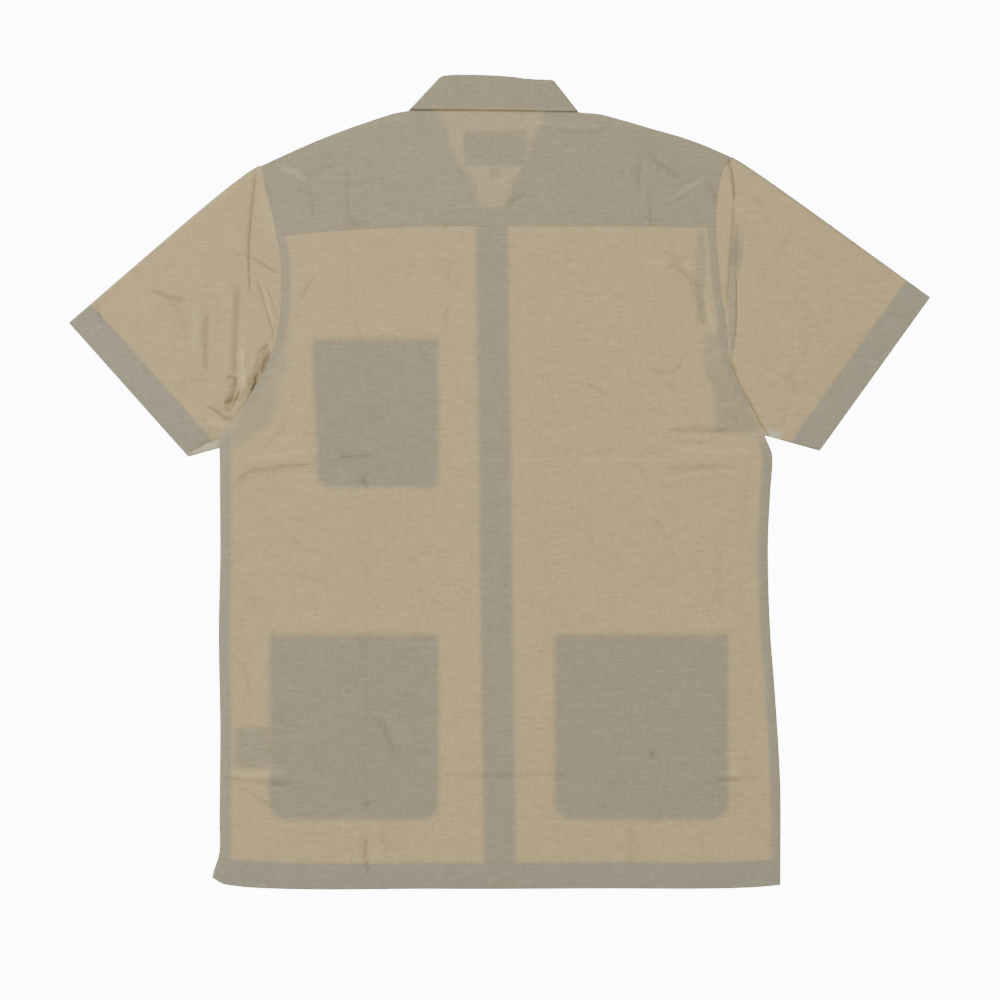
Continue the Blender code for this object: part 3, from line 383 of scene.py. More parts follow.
LEFT_SLEEVE_CREASES = (
    (
        -0.5, 0.5, 1.6, 1.20,
        ((-234, 304), (-236, 278), (-238.5, 256), (-240.7, 230), (-240.7, 207), (-239.3, 176)),
    ),
    (-0.2, 0.2, 2.1, 0.62, ((-239, 216), (-226, 208.5), (-212, 199))),
    (
        -0.5, 0.5, 1.3, 0.90,
        ((-235, 198), (-229, 183), (-222.5, 161), (-218, 146), (-217.5, 135), (-222, 132)),
    ),
    (-0.5, 0.4, 1.6, 1.10, ((-221, 133), (-228, 127), (-232, 124))),
    (-1.2, 0.3, 3.6, 0.62, ((-221.5, 131), (-223.5, 118), (-228, 101))),
    (-0.4, 0.2, 1.3, 0.90, ((-219, 127), (-222, 119), (-222.5, 112), (-225.5, 105))),
    (-0.3, 0.1, 1.2, 0.80, ((-224, 122), (-226.5, 114), (-229.5, 104))),
    (-0.7, 0.2, 1.6, 0.30, ((-230.5, 119), (-233, 112))),
    (0.6, 0.0, 2.2, -0.35, ((-235, 120), (-238, 108))),
    (-0.9, 0.4, 3.0, 0.60, ((-231.5, 106), (-235, 96), (-239.5, 86))),
    (-0.3, 0.1, 1.2, 0.70, ((-235.5, 104), (-235, 95), (-239, 85), (-243, 80))),
    (0.7, 0.0, 3.0, -0.30, ((-240, 108), (-245, 98), (-248, 87))),
    (-0.9, 0.3, 2.0, 0.90, ((-263, 98), (-258, 101), (-253, 98.5), (-254, 93), (-253, 87))),
    (-1.2, 0.2, 2.6, 0.62, ((-254, 88), (-258, 79), (-260, 72))),
    (-1.0, 0.3, 1.6, 0.80, ((-249, 87), (-253, 79), (-257.5, 70))),
    (0.6, 0.2, 1.6, -0.30, ((-266, 78), (-263, 70))),
    (-1.0, 0.2, 2.2, 1.00, ((-266, 61.5), (-255, 60))),
    (-0.9, 0.5, 1.9, 0.80, ((-281, 73), (-276, 70), (-270, 66), (-263, 61.5))),
    (0.9, 0.0, 4.5, -0.60, ((-281, 59), (-270, 55), (-262, 51))),
    (-0.7, 0.4, 4.2, 0.64, ((-251, 197), (-251.5, 170), (-253.5, 145), (-254, 115), (-254.5, 90))),
    (0.5, 0.0, 4.0, -0.25, ((-246, 144), (-246, 110))),
    (-0.6, 0.3, 4.0, 0.60, ((-279.5, 166), (-282.5, 138), (-281.5, 100))),
    (-0.5, 0.2, 1.6, 0.60, ((-386, 176), (-384, 160), (-380, 148), (-369, 136))),
    (-0.4, 0.4, 10.0, 0.24, ((-324, 180), (-309, 166), (-300, 150), (-297, 130))),
    (0.3, 0.0, 4.0, -0.22, ((-294, 172), (-291, 150), (-295, 126))),
    (0.2, 0.0, 3.0, -0.22, ((-299, 194), (-290, 181))),
    (-0.3, 0.2, 3.0, 0.24, ((-298, 100), (-286, 96), (-278, 98))),
    (-0.2, 0.1, 2.2, 0.22, ((-257, 220), (-247, 218), (-240, 214))),
    (0.3, 0.0, 2.2, -0.34, ((-225, 175), (-220, 160), (-216.5, 148))),
    (-0.6, 0.2, 3.0, 0.50, ((-225, 121), (-231, 107), (-238, 94))),
    (-0.5, 0.2, 2.8, 0.42, ((-236, 97), (-241, 87), (-248, 80))),
    (-0.4, 0.2, 3.2, 0.42, ((-266, 75), (-255, 79.5), (-243, 79))),
    (-0.2, 0.1, 1.3, 0.70, ((-259.5, 80), (-264, 75), (-262.5, 69.5), (-256, 69))),
    (0.0, 0.0, 9.0, 0.30, ((-224, 134), (-232, 106), (-242, 82))),
    (0.0, 0.0, 8.0, 0.30, ((-258, 104), (-257, 84), (-262, 64))),
    (0.5, 0.4, 7.0, -0.08, ((-369, 198), (-340, 174), (-326, 141))),
    (-0.4, 0.2, 3.6, 0.52, ((-337, 185), (-320, 178.5), (-298, 172.5))),
    (0.7, 0.0, 3.2, -0.50, ((-246, 128.5), (-246.5, 102.5), (-242.5, 85))),
    (0.4, 0.0, 5.0, -0.16, ((-257, 189), (-259.5, 145.5), (-262.5, 96))),
    (0.3, 0.0, 2.4, -0.24, ((-228, 190), (-222, 174.5), (-217.5, 156))),
    (0.3, 0.0, 6.0, -0.14, ((-228, 280), (-222, 256), (-215.5, 225.5))),
    (-0.3, 0.1, 1.5, 0.50, ((-224, 190), (-218, 172), (-212.5, 157))),
)
RIGHT_SLEEVE_CREASES = (
    (-0.9, 0.9, 1.5, 1.30, ((219, 311), (223, 298), (225, 285), (226, 268))),
    (
        -0.6, 0.5, 1.3, 0.90,
        ((226, 274), (224.5, 250), (222.5, 225), (220.5, 200), (218.5, 172), (218, 160)),
    ),
    (-0.6, -0.5, 1.2, 0.40, ((226, 206), (227.7, 189), (228, 168), (226.6, 142), (223.4, 125), (220, 110))),
    (-0.4, 0.0, 4.0, 0.45, ((228, 252), (227.5, 230), (226, 202))),
    (0.4, 0.3, 9.0, 0.00, ((262, 260), (300, 190), (318, 130))),
    (-0.3, 0.3, 8.0, 0.04, ((300, 236), (340, 190))),
    (-0.3, 0.3, 6.0, 0.12, ((287.5, 181), (300, 157), (313.5, 129.5))),
    (-0.3, 0.2, 4.0, 0.20, ((240, 278), (249, 269), (260, 258))),
    (-0.3, 0.2, 5.0, 0.22, ((285, 243), (274, 229), (264, 211))),
    (-0.3, 0.2, 5.0, 0.20, ((298, 146), (294, 128), (293, 110))),
    (-0.3, 0.2, 4.5, 0.20, ((286, 114), (282, 100), (284, 82))),
    (-0.2, 0.1, 4.0, 0.20, ((266, 70), (272, 68), (279, 70))),
    (-0.2, 0.1, 3.0, 0.16, ((244, 130), (254, 120), (257, 104))),
)
# The fold of the right sleeve that shows as a doubled strip: left edge down, right edge down
TUCK_LEFT = ((224, 262), (222, 218), (219, 189), (219, 146), (221, 114))
TUCK_RIGHT = ((231, 262), (234, 238), (233, 214), (229, 203), (228, 184), (228, 150), (226, 132))

# How far the chest pocket's side has slipped inward at its foot
CHEST_LEAN = 5.0

# Outlines of the zones painted lighter or greyer as backlight through fewer or more layers, and the path of
# the painted shadow line by the left cuff
NECK_LIGHT = (
    (-61, 358), (-50, 341), (-46, 320), (-35, 302), (-26, 293), (-21, 280), (-19, 268), (-15, 265),
    (4, 265), (9, 277), (12, 289), (21, 301), (27, 317), (32, 334), (39, 343), (41, 358),
)
RIGHT_UNDERARM = (
    (196, 142), (197, 104), (202, 95), (206, 84), (206, 47), (252, 46), (222, 116), (222, 150),
)
RIGHT_STRIPE = ((189, 242), (198, 242), (198, 152), (193, 152), (187.5, 190))
LEFT_UNDERARM = (
    (-213, 155), (-203, 150), (-203, 107), (-211, 98), (-213, 72), (-222, 56), (-250, 36), (-262, 36),
    (-262, 50), (-240, 90), (-222, 118),
)
LEFT_STRIP = ((-299, 28), (-283, 36.5), (-266, 43), (-266, 22), (-290, 12), (-304, 18))
LEFT_LEDGE = ((-298, 29), (-283, 36.8), (-266, 43.5))
RIGHT_STRIP = ((255, 50), (270, 48), (271, 36), (255, 38))


# Plain maths on arrays


def curve(rows, keys):
    """Values at keys on a smooth curve through rows of (key, value)."""
    rows = np.array(sorted(rows), float)
    keys = np.clip(np.asarray(keys, float), rows[0, 0], rows[-1, 0])
    slopes = np.diff(rows[:, 1]) / np.diff(rows[:, 0])
    turning = np.concatenate(([slopes[0]], (slopes[1:] + slopes[:-1]) / 2, [slopes[-1]]))
    turning[1:-1][slopes[1:] * slopes[:-1] <= 0] = 0.0
    first = np.clip(np.searchsorted(rows[:, 0], keys, side="right") - 1, 0, len(rows) - 2)
    width = rows[first + 1, 0] - rows[first, 0]
    t = (keys - rows[first, 0]) / width
    return (
        rows[first, 1] * (2 * t ** 3 - 3 * t ** 2 + 1)
        + turning[first] * width * (t ** 3 - 2 * t ** 2 + t)
        + rows[first + 1, 1] * (3 * t ** 2 - 2 * t ** 3)
        + turning[first + 1] * width * (t ** 3 - t ** 2)
    )


def mix(a, b, t):
    return a + (b - a) * t


def fade(distance, full, none):
    """1 up to the distance full, 0 from the distance none, and a soft slope between."""
    t = np.clip((none - distance) / (none - full), 0.0, 1.0)
    return t * t * (3 - 2 * t)


def box_distance(x, y, box, corner=0.0):
    """Distance outside a rectangle (negative inside) with its lower corners rounded."""
    left, right, bottom, top = box
    corner = np.where(y < (bottom + top) / 2, corner, min(corner, 1.5))
    dx = np.abs(x - (left + right) / 2) - (right - left) / 2 + corner
    dy = np.abs(y - (bottom + top) / 2) - (top - bottom) / 2 + corner
    outside = np.hypot(np.maximum(dx, 0), np.maximum(dy, 0))
    return outside + np.minimum(np.maximum(dx, dy), 0) - corner


def path_distance(x, y, path):
    """Distance to a path, positive on the left of its run, and the share of the way along it."""
    best = np.full(x.shape, 1e9)
    side = np.ones(x.shape)
    share = np.zeros(x.shape)
    steps = [math.dist(a, b) for a, b in zip(path, path[1:])]
    total = sum(steps)
    run = 0.0
    for (ax, ay), (bx, by), length in zip(path, path[1:], steps):
        t = np.clip(((x - ax) * (bx - ax) + (y - ay) * (by - ay)) / length ** 2, 0, 1)
        away = np.hypot(x - ax - t * (bx - ax), y - ay - t * (by - ay))
        cross = (bx - ax) * (y - ay) - (by - ay) * (x - ax)
        closer = away < best
        best = np.where(closer, away, best)
        side = np.where(closer, np.where(cross >= 0, 1.0, -1.0), side)
        share = np.where(closer, (run + t * length) / total, share)
        run += length
    return best * side, share


def inside(x, y, outline):
    """Signed distance to a closed outline, negative inside."""
    closed = list(outline) + [outline[0]]
    away, _ = path_distance(x, y, closed)
    hits = np.zeros(x.shape, bool)
    for (ax, ay), (bx, by) in zip(closed, closed[1:]):
        if ay == by:
            continue
        crosses = ((ay > y) != (by > y)) & (x < (bx - ax) * (y - ay) / (by - ay) + ax)
        hits ^= crosses
    return np.where(hits, -np.abs(away), np.abs(away))


def crease_height(x, y, table):
    """Height and painted shade (negative for a painted highlight) that a table of creases adds at x, y."""
    height = np.zeros(x.shape)
    painted_shading = np.zeros(x.shape)
    for rise, lean, width, shade, path in table:
        away, share = path_distance(x, y, path)
        ends = fade(np.abs(share - 0.5), 0.40 - 0.02 * width, 0.5)
        own = width * mix(0.55, 1.0, np.sin(math.pi * np.clip(share, 0.0, 1.0)) ** 0.6)
        bell = np.exp(-(away / own) ** 2) * ends
        height += rise * bell + lean * LEAN_SCALE * (away / own) * bell
        # Painted shade along the crease, and a painted highlight where its value is negative
        painted_shading += shade * np.exp(-(away / (0.7 * own)) ** 2) * ends
    return height, painted_shading


def ripple(x, y, pace=1.0):
    """Gentle uneven waves, about 1 from crest to trough."""
    return (
        0.30 * np.sin(x / (31 * pace) + 0.8 * np.sin(y / (83 * pace)) + 1.0)
        + 0.22 * np.sin(y / (43 * pace) + 1.3 * np.sin(x / (71 * pace)) + 0.4)
        + 0.16 * np.sin((x + 0.6 * y) / (19 * pace) + 2.0)
        + 0.10 * np.sin((x - 1.4 * y) / (13 * pace) + 0.5)
    )


# The shirt's own shape


def band_centre(y):
    return mix(0.7, -7.2, (y + 391.0) / 634.0)


def stack():
    """Heights of the layers, from the thickness of the cloth that the panel sets."""
    sizes = bpy.context.scene.shirt_sizes
    wall = sizes.cloth / MM
    gap = LAYER_GAP
    button = BUTTON_THICKNESS + gap
    return {
        "wall": wall,
        "gap": gap,
        "air": sizes.air / MM,
        "button": button,
        "overlap": button + wall + gap,
        "yoke_low": 2 * wall + gap,
        "yoke_high": button + wall + gap,
        "crossing": wall + 2 * gap,
    }


def left_floor(x, y, s):
    lift = s["button"] * fade(np.abs(x - band_centre(y)), BAND_WIDTH / 2, BAND_WIDTH / 2 + 9)
    for _, left, right, bottom, top, corner in POCKETS:
        away = box_distance(x, y, (left, right, bottom, top), corner)
        lift = np.maximum(lift, (s["wall"] + s["gap"]) * fade(away, 0.5, 7.0))
    return np.maximum(lift, neck_lift(x, y, LEFT_NECK, s))


def right_floor(x, y, s):
    lift = s["overlap"] * fade(np.abs(x - band_centre(y)), BAND_WIDTH / 2, BAND_WIDTH / 2 + 11)
    for _, left, right, bottom, top, corner in POCKETS:
        away = box_distance(x, y, (left, right, bottom, top), corner)
        lift = np.maximum(lift, (s["wall"] + s["gap"]) * fade(away, 0.5, 7.0))
    lift = np.maximum(lift, neck_lift(x, y, RIGHT_NECK, s))
    crossing = fade(x, 40.0, 75.0) * fade(y, 270.0, 300.0) * fade(-y, -252.0, -225.0)
    return np.maximum(lift, s["overlap"] * crossing)


def neck_lift(x, y, neck, s):
    """Lift of a front over its lapel and collar leaf."""
    away = np.abs(x - curve([(row[1], row[0]) for row in neck], y))
    return s["button"] * fade(away, 85.0, 115.0) * fade(-y, -250.0, -215.0)


def yoke_floor(x, y, s):
    share = fade(np.abs(x + 5.0), 125.0, 200.0)
    away = np.hypot(x + 4.0, y - 250.0)
    return mix(s["yoke_low"], s["yoke_high"], share) + s["crossing"] * fade(away, 42.0, 115.0)


def back_floor(x, y, s):
    """Underside of the back over the fronts, with air under it that runs out at the side seams."""
    band = fade(np.abs(x - band_centre(y)), 20.0, 85.0)
    soft = mix(s["air"], s["overlap"] + 0.15, band)
    for _, left, right, bottom, top, corner in POCKETS:
        away = box_distance(x, y, (left, right, bottom, top), corner)
        soft = np.maximum(soft, s["air"] + (s["wall"] + s["gap"]) * fade(away, 2.0, 30.0))
    edge = np.minimum(x - curve(LEFT_EDGE, y), curve(RIGHT_EDGE, y) - x)
    soft = soft + 0.7 * ripple(x, y) * fade(-edge, -30.0, -6.0)
    shut = 1.0 - np.exp(-np.maximum(edge, 0.0) / 3.5)
    shut = mix(shut, 0.8 + 0.2 * shut, fade(-y, -80.0, -45.0))
    hem = fade(y - curve(HEM_LINE, x), 0.0, 12.0)
    soft = s["gap"] + np.maximum(soft - s["gap"], 0.1) * mix(shut, shut * 0.55, hem)
    at_seam = yoke_floor(x, y, s) + s["wall"]
    return s["wall"] + mix(soft, at_seam - s["wall"], fade(curve(YOKE_SEAM, x) - y, 2.0, 60.0))


def yoke_surface(x, y, s, rise):
    """Underside of a yoke layer, drawn down to the front along the shoulders."""
    top = curve(YOKE_TOP, x)
    drop = np.exp(-np.maximum(top - y, 0.0) / 3.5)
    above = y - curve(YOKE_SEAM, x)
    height = yoke_floor(x, y, s) + rise + 0.35 * ripple(x, y, 1.3) * fade(-above, -30.0, -4.0)
    outer = np.abs(x + 6.0) > 84.0
    return np.where(outer, mix(height, np.minimum(height, 2 * s["wall"] + rise), drop), height)


# Painted backlight shade, by how many layers the light comes through: 0 for two, 1 for four or more, and -1
# for one


def body_backlit_shade(x, y):
    # Painted backlight shade of the back: greyer over the hem, pockets, button band, seam allowances,
    # underarms and care label
    backlit_grey = 1.08 * fade(y - curve(HEM_LINE, x), HEM_DEPTH - 0.6, HEM_DEPTH + 1.6)
    for name, left, right, bottom, top, corner in POCKETS:
        away = box_distance(x, y, (left, right, bottom, top), corner)
        if name == "chest_pocket":
            away = away + CHEST_LEAN * fade(np.abs(x - left), 4.0, 14.0) * fade(y, bottom, top)
        backlit_grey = np.maximum(backlit_grey, fade(away, -3.5, 4.5) + 0.08 * fade(np.abs(away + 6.0), 2.0, 6.0))
        # Painted light ring just outside each pocket
        halo = fade(np.abs(away - 9.0), 2.0, 8.0)
        backlit_grey = np.where(backlit_grey < 0.1, backlit_grey - 0.07 * halo, backlit_grey)
    band = fade(np.abs(x - band_centre(y)), BAND_WIDTH / 2 - 3.5, BAND_WIDTH / 2 + 2.0)
    backlit_grey = np.maximum(backlit_grey, 0.95 * band)
    backlit_grey = np.maximum(backlit_grey, 0.85 * fade(x - curve(LEFT_EDGE, y), 9.5, 13.0) * fade(y, 40.0, 60.0))
    backlit_grey = np.maximum(backlit_grey, 0.85 * fade(curve(RIGHT_EDGE, y) - x, 8.0, 11.5) * fade(y, 30.0, 48.0))
    left_hole = x - curve(LEFT_EDGE, y)
    right_hole = curve(RIGHT_EDGE, y) - x
    upper = fade(-y, -80.0, -60.0)
    backlit_grey = np.maximum(backlit_grey, 0.85 * fade(left_hole, 7.5, 10.5) * upper)
    backlit_grey = np.maximum(backlit_grey, 0.85 * fade(right_hole, 6.5, 9.5) * upper)
    backlit_grey = np.maximum(backlit_grey, 0.60 * fade(inside(x, y, RIGHT_STRIPE), -2.5, 2.5))
    underarm = mix(0.75, 0.5, fade(-y, -125.0, -90.0))
    backlit_grey = np.maximum(backlit_grey, underarm * fade(inside(x, y, RIGHT_UNDERARM), -5.0, 3.0))
    backlit_grey = np.maximum(backlit_grey, 0.55 * fade(inside(x, y, LEFT_UNDERARM), -7.0, 6.0))
    label = box_distance(x - 2.0, y, CARE_LABEL, 1.0)
    return np.maximum(backlit_grey, 0.85 * fade(label, -2.5, 2.5))


def yoke_backlit_shade(x, y):
    # Painted backlight shade of the yoke: lighter at the open neck, greyer over the neck label and size tab
    light = fade(inside(x, y, NECK_LIGHT), -2.0, 4.0)
    backlit_grey = 0.92 - 0.64 * light
    backlit_grey = np.maximum(backlit_grey, 0.95 * fade(box_distance(x, y, NECK_LABEL, 1.0), -1.5, 1.5))
    return np.maximum(backlit_grey, 0.75 * fade(box_distance(x, y, SIZE_TAB), -1.0, 1.5))


# Meshes


def cloth_piece(name, x, y, z, layers, painted_shading, thickness, looks, painted_cool_tint=0.0, ring=False, flip=False):
    """A shell of cloth from matching grids of places, layers for the painted backlight shade, painted
    crease shade and highlights, and the painted cool tint of the hems.
    """
    rows, columns = x.shape
    points = np.stack([x, y, z], axis=-1).reshape(-1, 3) * MM
    index = np.arange(rows * columns).reshape(rows, columns)
    if ring:
        index = np.concatenate([index, index[:, :1]], axis=1)
    quads = np.stack([index[:-1, :-1], index[:-1, 1:], index[1:, 1:], index[1:, :-1]], axis=-1)
    quads = quads.reshape(-1, 4)
    if flip:
        quads = quads[:, ::-1]
    mesh = bpy.data.meshes.new(name)
    mesh.from_pydata(points.tolist(), [], quads.tolist())
    for label, values in (("layers", layers), ("painted_shading", painted_shading), ("painted_cool_tint", painted_cool_tint)):
        attribute = mesh.attributes.new(label, "FLOAT", "POINT")
        attribute.data.foreach_set("value", np.broadcast_to(values, x.shape).ravel().astype(np.float32))
    mesh.shade_smooth()
    mesh.materials.append(looks)
    piece = bpy.data.objects.new(name, mesh)
    bpy.context.collection.objects.link(piece)
    thicken(piece, thickness)
    return piece


def select_only(piece):
    bpy.ops.object.select_all(action="DESELECT")
    piece.select_set(True)
    bpy.context.view_layer.objects.active = piece


def thicken(piece, thickness):
    select_only(piece)
    solid = piece.modifiers.new("cloth", "SOLIDIFY")
    solid.thickness = thickness * MM
    solid.offset = -1.0
    bpy.ops.object.modifier_apply(modifier=solid.name)
    bpy.ops.object.shade_smooth_by_angle(angle=math.radians(SMOOTH_ANGLE))


def ride_as(piece, slot, *nodes):
    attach(piece, "root")
    if nodes:
        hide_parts(*nodes)


def lines(low, high, pitch, extra=()):
    """Evenly spaced shares from 0 to 1 at about pitch, with extra places worked in."""
    count = max(2, int(round((high - low) / pitch)))
    shares = set(np.round(np.linspace(0.0, 1.0, count + 1), 6))
    shares |= {round((place - low) / (high - low), 6) for place in extra}
    return np.array(sorted(shares))


def body_plan(down):
    """Grid of the body from side to side, from the hem up into the yoke seam."""
    u, v = np.meshgrid(lines(*BODY_ACROSS, BACK_PITCH), down)
    x = mix(*BODY_ACROSS, u)
    for _ in range(SEARCH_ROUNDS):
        y = mix(curve(HEM_LINE, x), curve(YOKE_SEAM, x) + SEAM_TUCK, v)
        x = mix(curve(LEFT_EDGE, y), curve(RIGHT_EDGE, y), u)
    return x, y


def make_back(looks):
    s = stack()
    hem_top = BODY_UP[0] + HEM_DEPTH
    x, y = body_plan(lines(*BODY_UP, BACK_PITCH, (hem_top - 0.8, hem_top + 0.8)))
    rise, painted_shading = crease_height(x, y, BODY_CREASES)
    z = back_floor(x, y, s) + s["wall"] + rise
    above = y - curve(HEM_LINE, x)
    hem_edge = np.abs(above - HEM_DEPTH)
    z += 0.15 * fade(above, HEM_DEPTH - 1, HEM_DEPTH) - 0.12 * fade(hem_edge, 0.5, 2.0)
    z = np.maximum(z, 2 * s["wall"] + 0.05)
    # Painted shadow line along the hem's top edge
    painted_shading = painted_shading + 0.10 * fade(hem_edge, 0.4, 1.8)
    # Painted cool tint over the backlit hem and the side seam bands
    edge_away = np.minimum(x - curve(LEFT_EDGE, y), curve(RIGHT_EDGE, y) - x)
    painted_cool_side = fade(edge_away, 10, 12) * fade(y, 30, 60)
    painted_cool_tint = np.maximum(fade(above, HEM_DEPTH, HEM_DEPTH + 2), painted_cool_side)
    piece = cloth_piece("back_cloth", x, y, z, body_backlit_shade(x, y), painted_shading, s["wall"], looks, painted_cool_tint)
    ride_as(piece, "shirt_cloth", "back_panel")


def front_plan(side, neck, pitch):
    """Grid of a front from its hem to its shoulder and neckline, side seam first."""
    across = lines(0.0, FRONT_ACROSS, pitch)
    lower = lines(*FRONT_UP, pitch)
    edge = LEFT_EDGE if side < 0 else RIGHT_EDGE
    u, v = np.meshgrid(across, lower)
    x = mix(side * FRONT_SIDE, 0.0, u)
    for _ in range(SEARCH_ROUNDS):
        y = mix(curve(HEM_LINE, x), curve(YOKE_SEAM, x), v)
        x = mix(curve(edge, y), band_centre(y) - side * BAND_WIDTH / 2, u)
    shoulder = YOKE_TOP[0][1] if side < 0 else YOKE_TOP[-1][1]
    w = lines(0.0, SHOULDER_RISE, pitch)[1:, None]
    base_x, base_y = x[-1], y[-1]
    armhole_y = mix(base_y[0], shoulder, w)
    neck_y = mix(base_y[-1], neck[-1][1], w)
    armhole_x = curve(edge, armhole_y)
    neck_x = curve([(row[1], row[0]) for row in neck], neck_y)
    neck_x = mix(base_x[-1], neck_x, np.clip(w * 8, 0, 1))
    share = (base_x - base_x[0]) / (base_x[-1] - base_x[0])
    top_x = mix(armhole_x[-1], neck_x[-1], share)
    top_y = curve(YOKE_TOP, top_x)
    upper_x = coons(base_x, top_x, armhole_x, neck_x, share, w)
    upper_y = coons(base_y, top_y, armhole_y, neck_y, share, w)
    return np.concatenate([x, upper_x]), np.concatenate([y, upper_y])


def coons(bottom, top, left, right, u, v):
    """One coordinate of the patch between four edges."""
    corners = mix(mix(bottom[0], bottom[-1], u), mix(top[0], top[-1], u), v)
    return mix(bottom, top, v) + mix(left, right, u) - corners


def make_fronts(looks):
    s = stack()
    for side, neck, floor in ((-1, LEFT_NECK, left_floor), (1, RIGHT_NECK, right_floor)):
        name = "left" if side < 0 else "right"
        x, y = front_plan(side, neck, FRONT_PITCH)
        rise, painted_shading = crease_height(x, y, FRONT_CREASES)
        # Painted backlight shade: greyer at the hem, along the button band and at the neck
        backlit_grey = np.maximum(
            1.0 * fade(y - curve(HEM_LINE, x), HEM_DEPTH - 1, HEM_DEPTH + 2),
            0.9 * fade(np.abs(x - band_centre(y)), BAND_WIDTH / 2 - 1, BAND_WIDTH / 2 + 2),
        )
        backlit_grey = np.maximum(backlit_grey, 0.8 * fade(-y, -262, -245))
        z = floor(x, y, s) + s["wall"] + np.maximum(rise, 0.0)
        piece = cloth_piece("front_cloth_" + name, x, y, z, backlit_grey, painted_shading, s["wall"], looks, flip=side > 0)
        ride_as(piece, "shirt_cloth", "front_" + name)


def yoke_plan(pitch):
    """Grid of the yoke from its seam up to the shoulders and neck."""
    across = lines(*YOKE_ACROSS, pitch)
    v = lines(0.0, YOKE_RISE, pitch)[:, None]
    base_x = mix(YOKE_SEAM[0][0], YOKE_SEAM[-1][0], across)
    base_y = curve(YOKE_SEAM, base_x)
    left_y = mix(base_y[0], YOKE_TOP[0][1], v)
    right_y = mix(base_y[-1], YOKE_TOP[-1][1], v)
    left_x = curve(LEFT_EDGE, left_y)
    right_x = curve(RIGHT_EDGE, right_y)
    share = (base_x - base_x[0]) / (base_x[-1] - base_x[0])
    top_x = mix(YOKE_TOP[0][0], YOKE_TOP[-1][0], share)
    top_y = curve(YOKE_TOP, top_x)
    x = coons(base_x, top_x, left_x, right_x, share, v)
    y = coons(base_y, top_y, left_y, right_y, share, v)
    return x, y


def make_yoke(looks):
    s = stack()
    x, y = yoke_plan(YOKE_PITCH)
    rise, painted_shading = crease_height(x, y, YOKE_CREASES)
    above = y - curve(YOKE_SEAM, x)
    z = yoke_surface(x, y, s, s["wall"] + s["gap"]) + s["wall"] + rise * (1.0 - fade(above, 7.0, 14.0))
    z += 0.12 * fade(above, 0.0, 6.0) - 0.10 * fade(np.abs(above - 2.2), 0.3, 1.6)
    piece = cloth_piece("yoke_cloth", x, y, z, yoke_backlit_shade(x, y), painted_shading, s["wall"], looks)
    ride_as(piece, "doubled_cloth", "yoke_outer")
    x, y = yoke_plan(LINING_PITCH)
    z = yoke_surface(x, y, s, 0.0) + s["wall"]
    # Painted backlight shade of the lining, a little greyer than two layers
    inner = cloth_piece("yoke_lining", x, y, z, 0.2, 0.0, s["wall"], looks)
    ride_as(inner, "shirt_cloth", "yoke_inner")


def sleeve_plan(row, pitch):
    """Grid of one layer of a sleeve: rows from armhole to cuff, columns from shoulder to underarm."""
    _, side, shoulder, underarm, high, low, bulge = row
    down = lines(0.0, ARMHOLE_RISE, 0.62 * pitch)[None, :]
    edge = LEFT_EDGE if side < 0 else RIGHT_EDGE
    arm_y = mix(shoulder, underarm, down)
    arm_x = curve(edge, arm_y)
    cuff_x = mix(high[0], low[0], down)
    cuff_y = mix(high[1], low[1], down)
    length = np.hypot(cuff_x - arm_x, cuff_y - arm_y)
    fitted = np.maximum(length, FINE_ROWS + CUFF_ROWS[0] + 6.0)
    near = np.arange(0.0, FINE_ROWS, 1.0)[:, None] / fitted
    cuff = 1.0 - np.array(CUFF_ROWS)[:, None] / fitted
    between = np.linspace(0.0, 1.0, int(150 / pitch))[1:-1, None]
    share = np.concatenate([near, mix(near[-1:], cuff[:1], between), cuff])
    out = share * length
    swell = bulge * np.sin(math.pi * share ** 0.45) * (1.0 - down) ** 3
    x = mix(arm_x, cuff_x, share) + side * 0.63 * swell
    y = mix(arm_y, cuff_y, share) + 0.77 * swell
    tuck = SEAM_TUCK * fade(out, 0.0, 9.0) * fade(down, 0.94, 1.0) * fade(-down, -0.05, 0.0)
    return x - side * tuck * 0.8, y, out, down


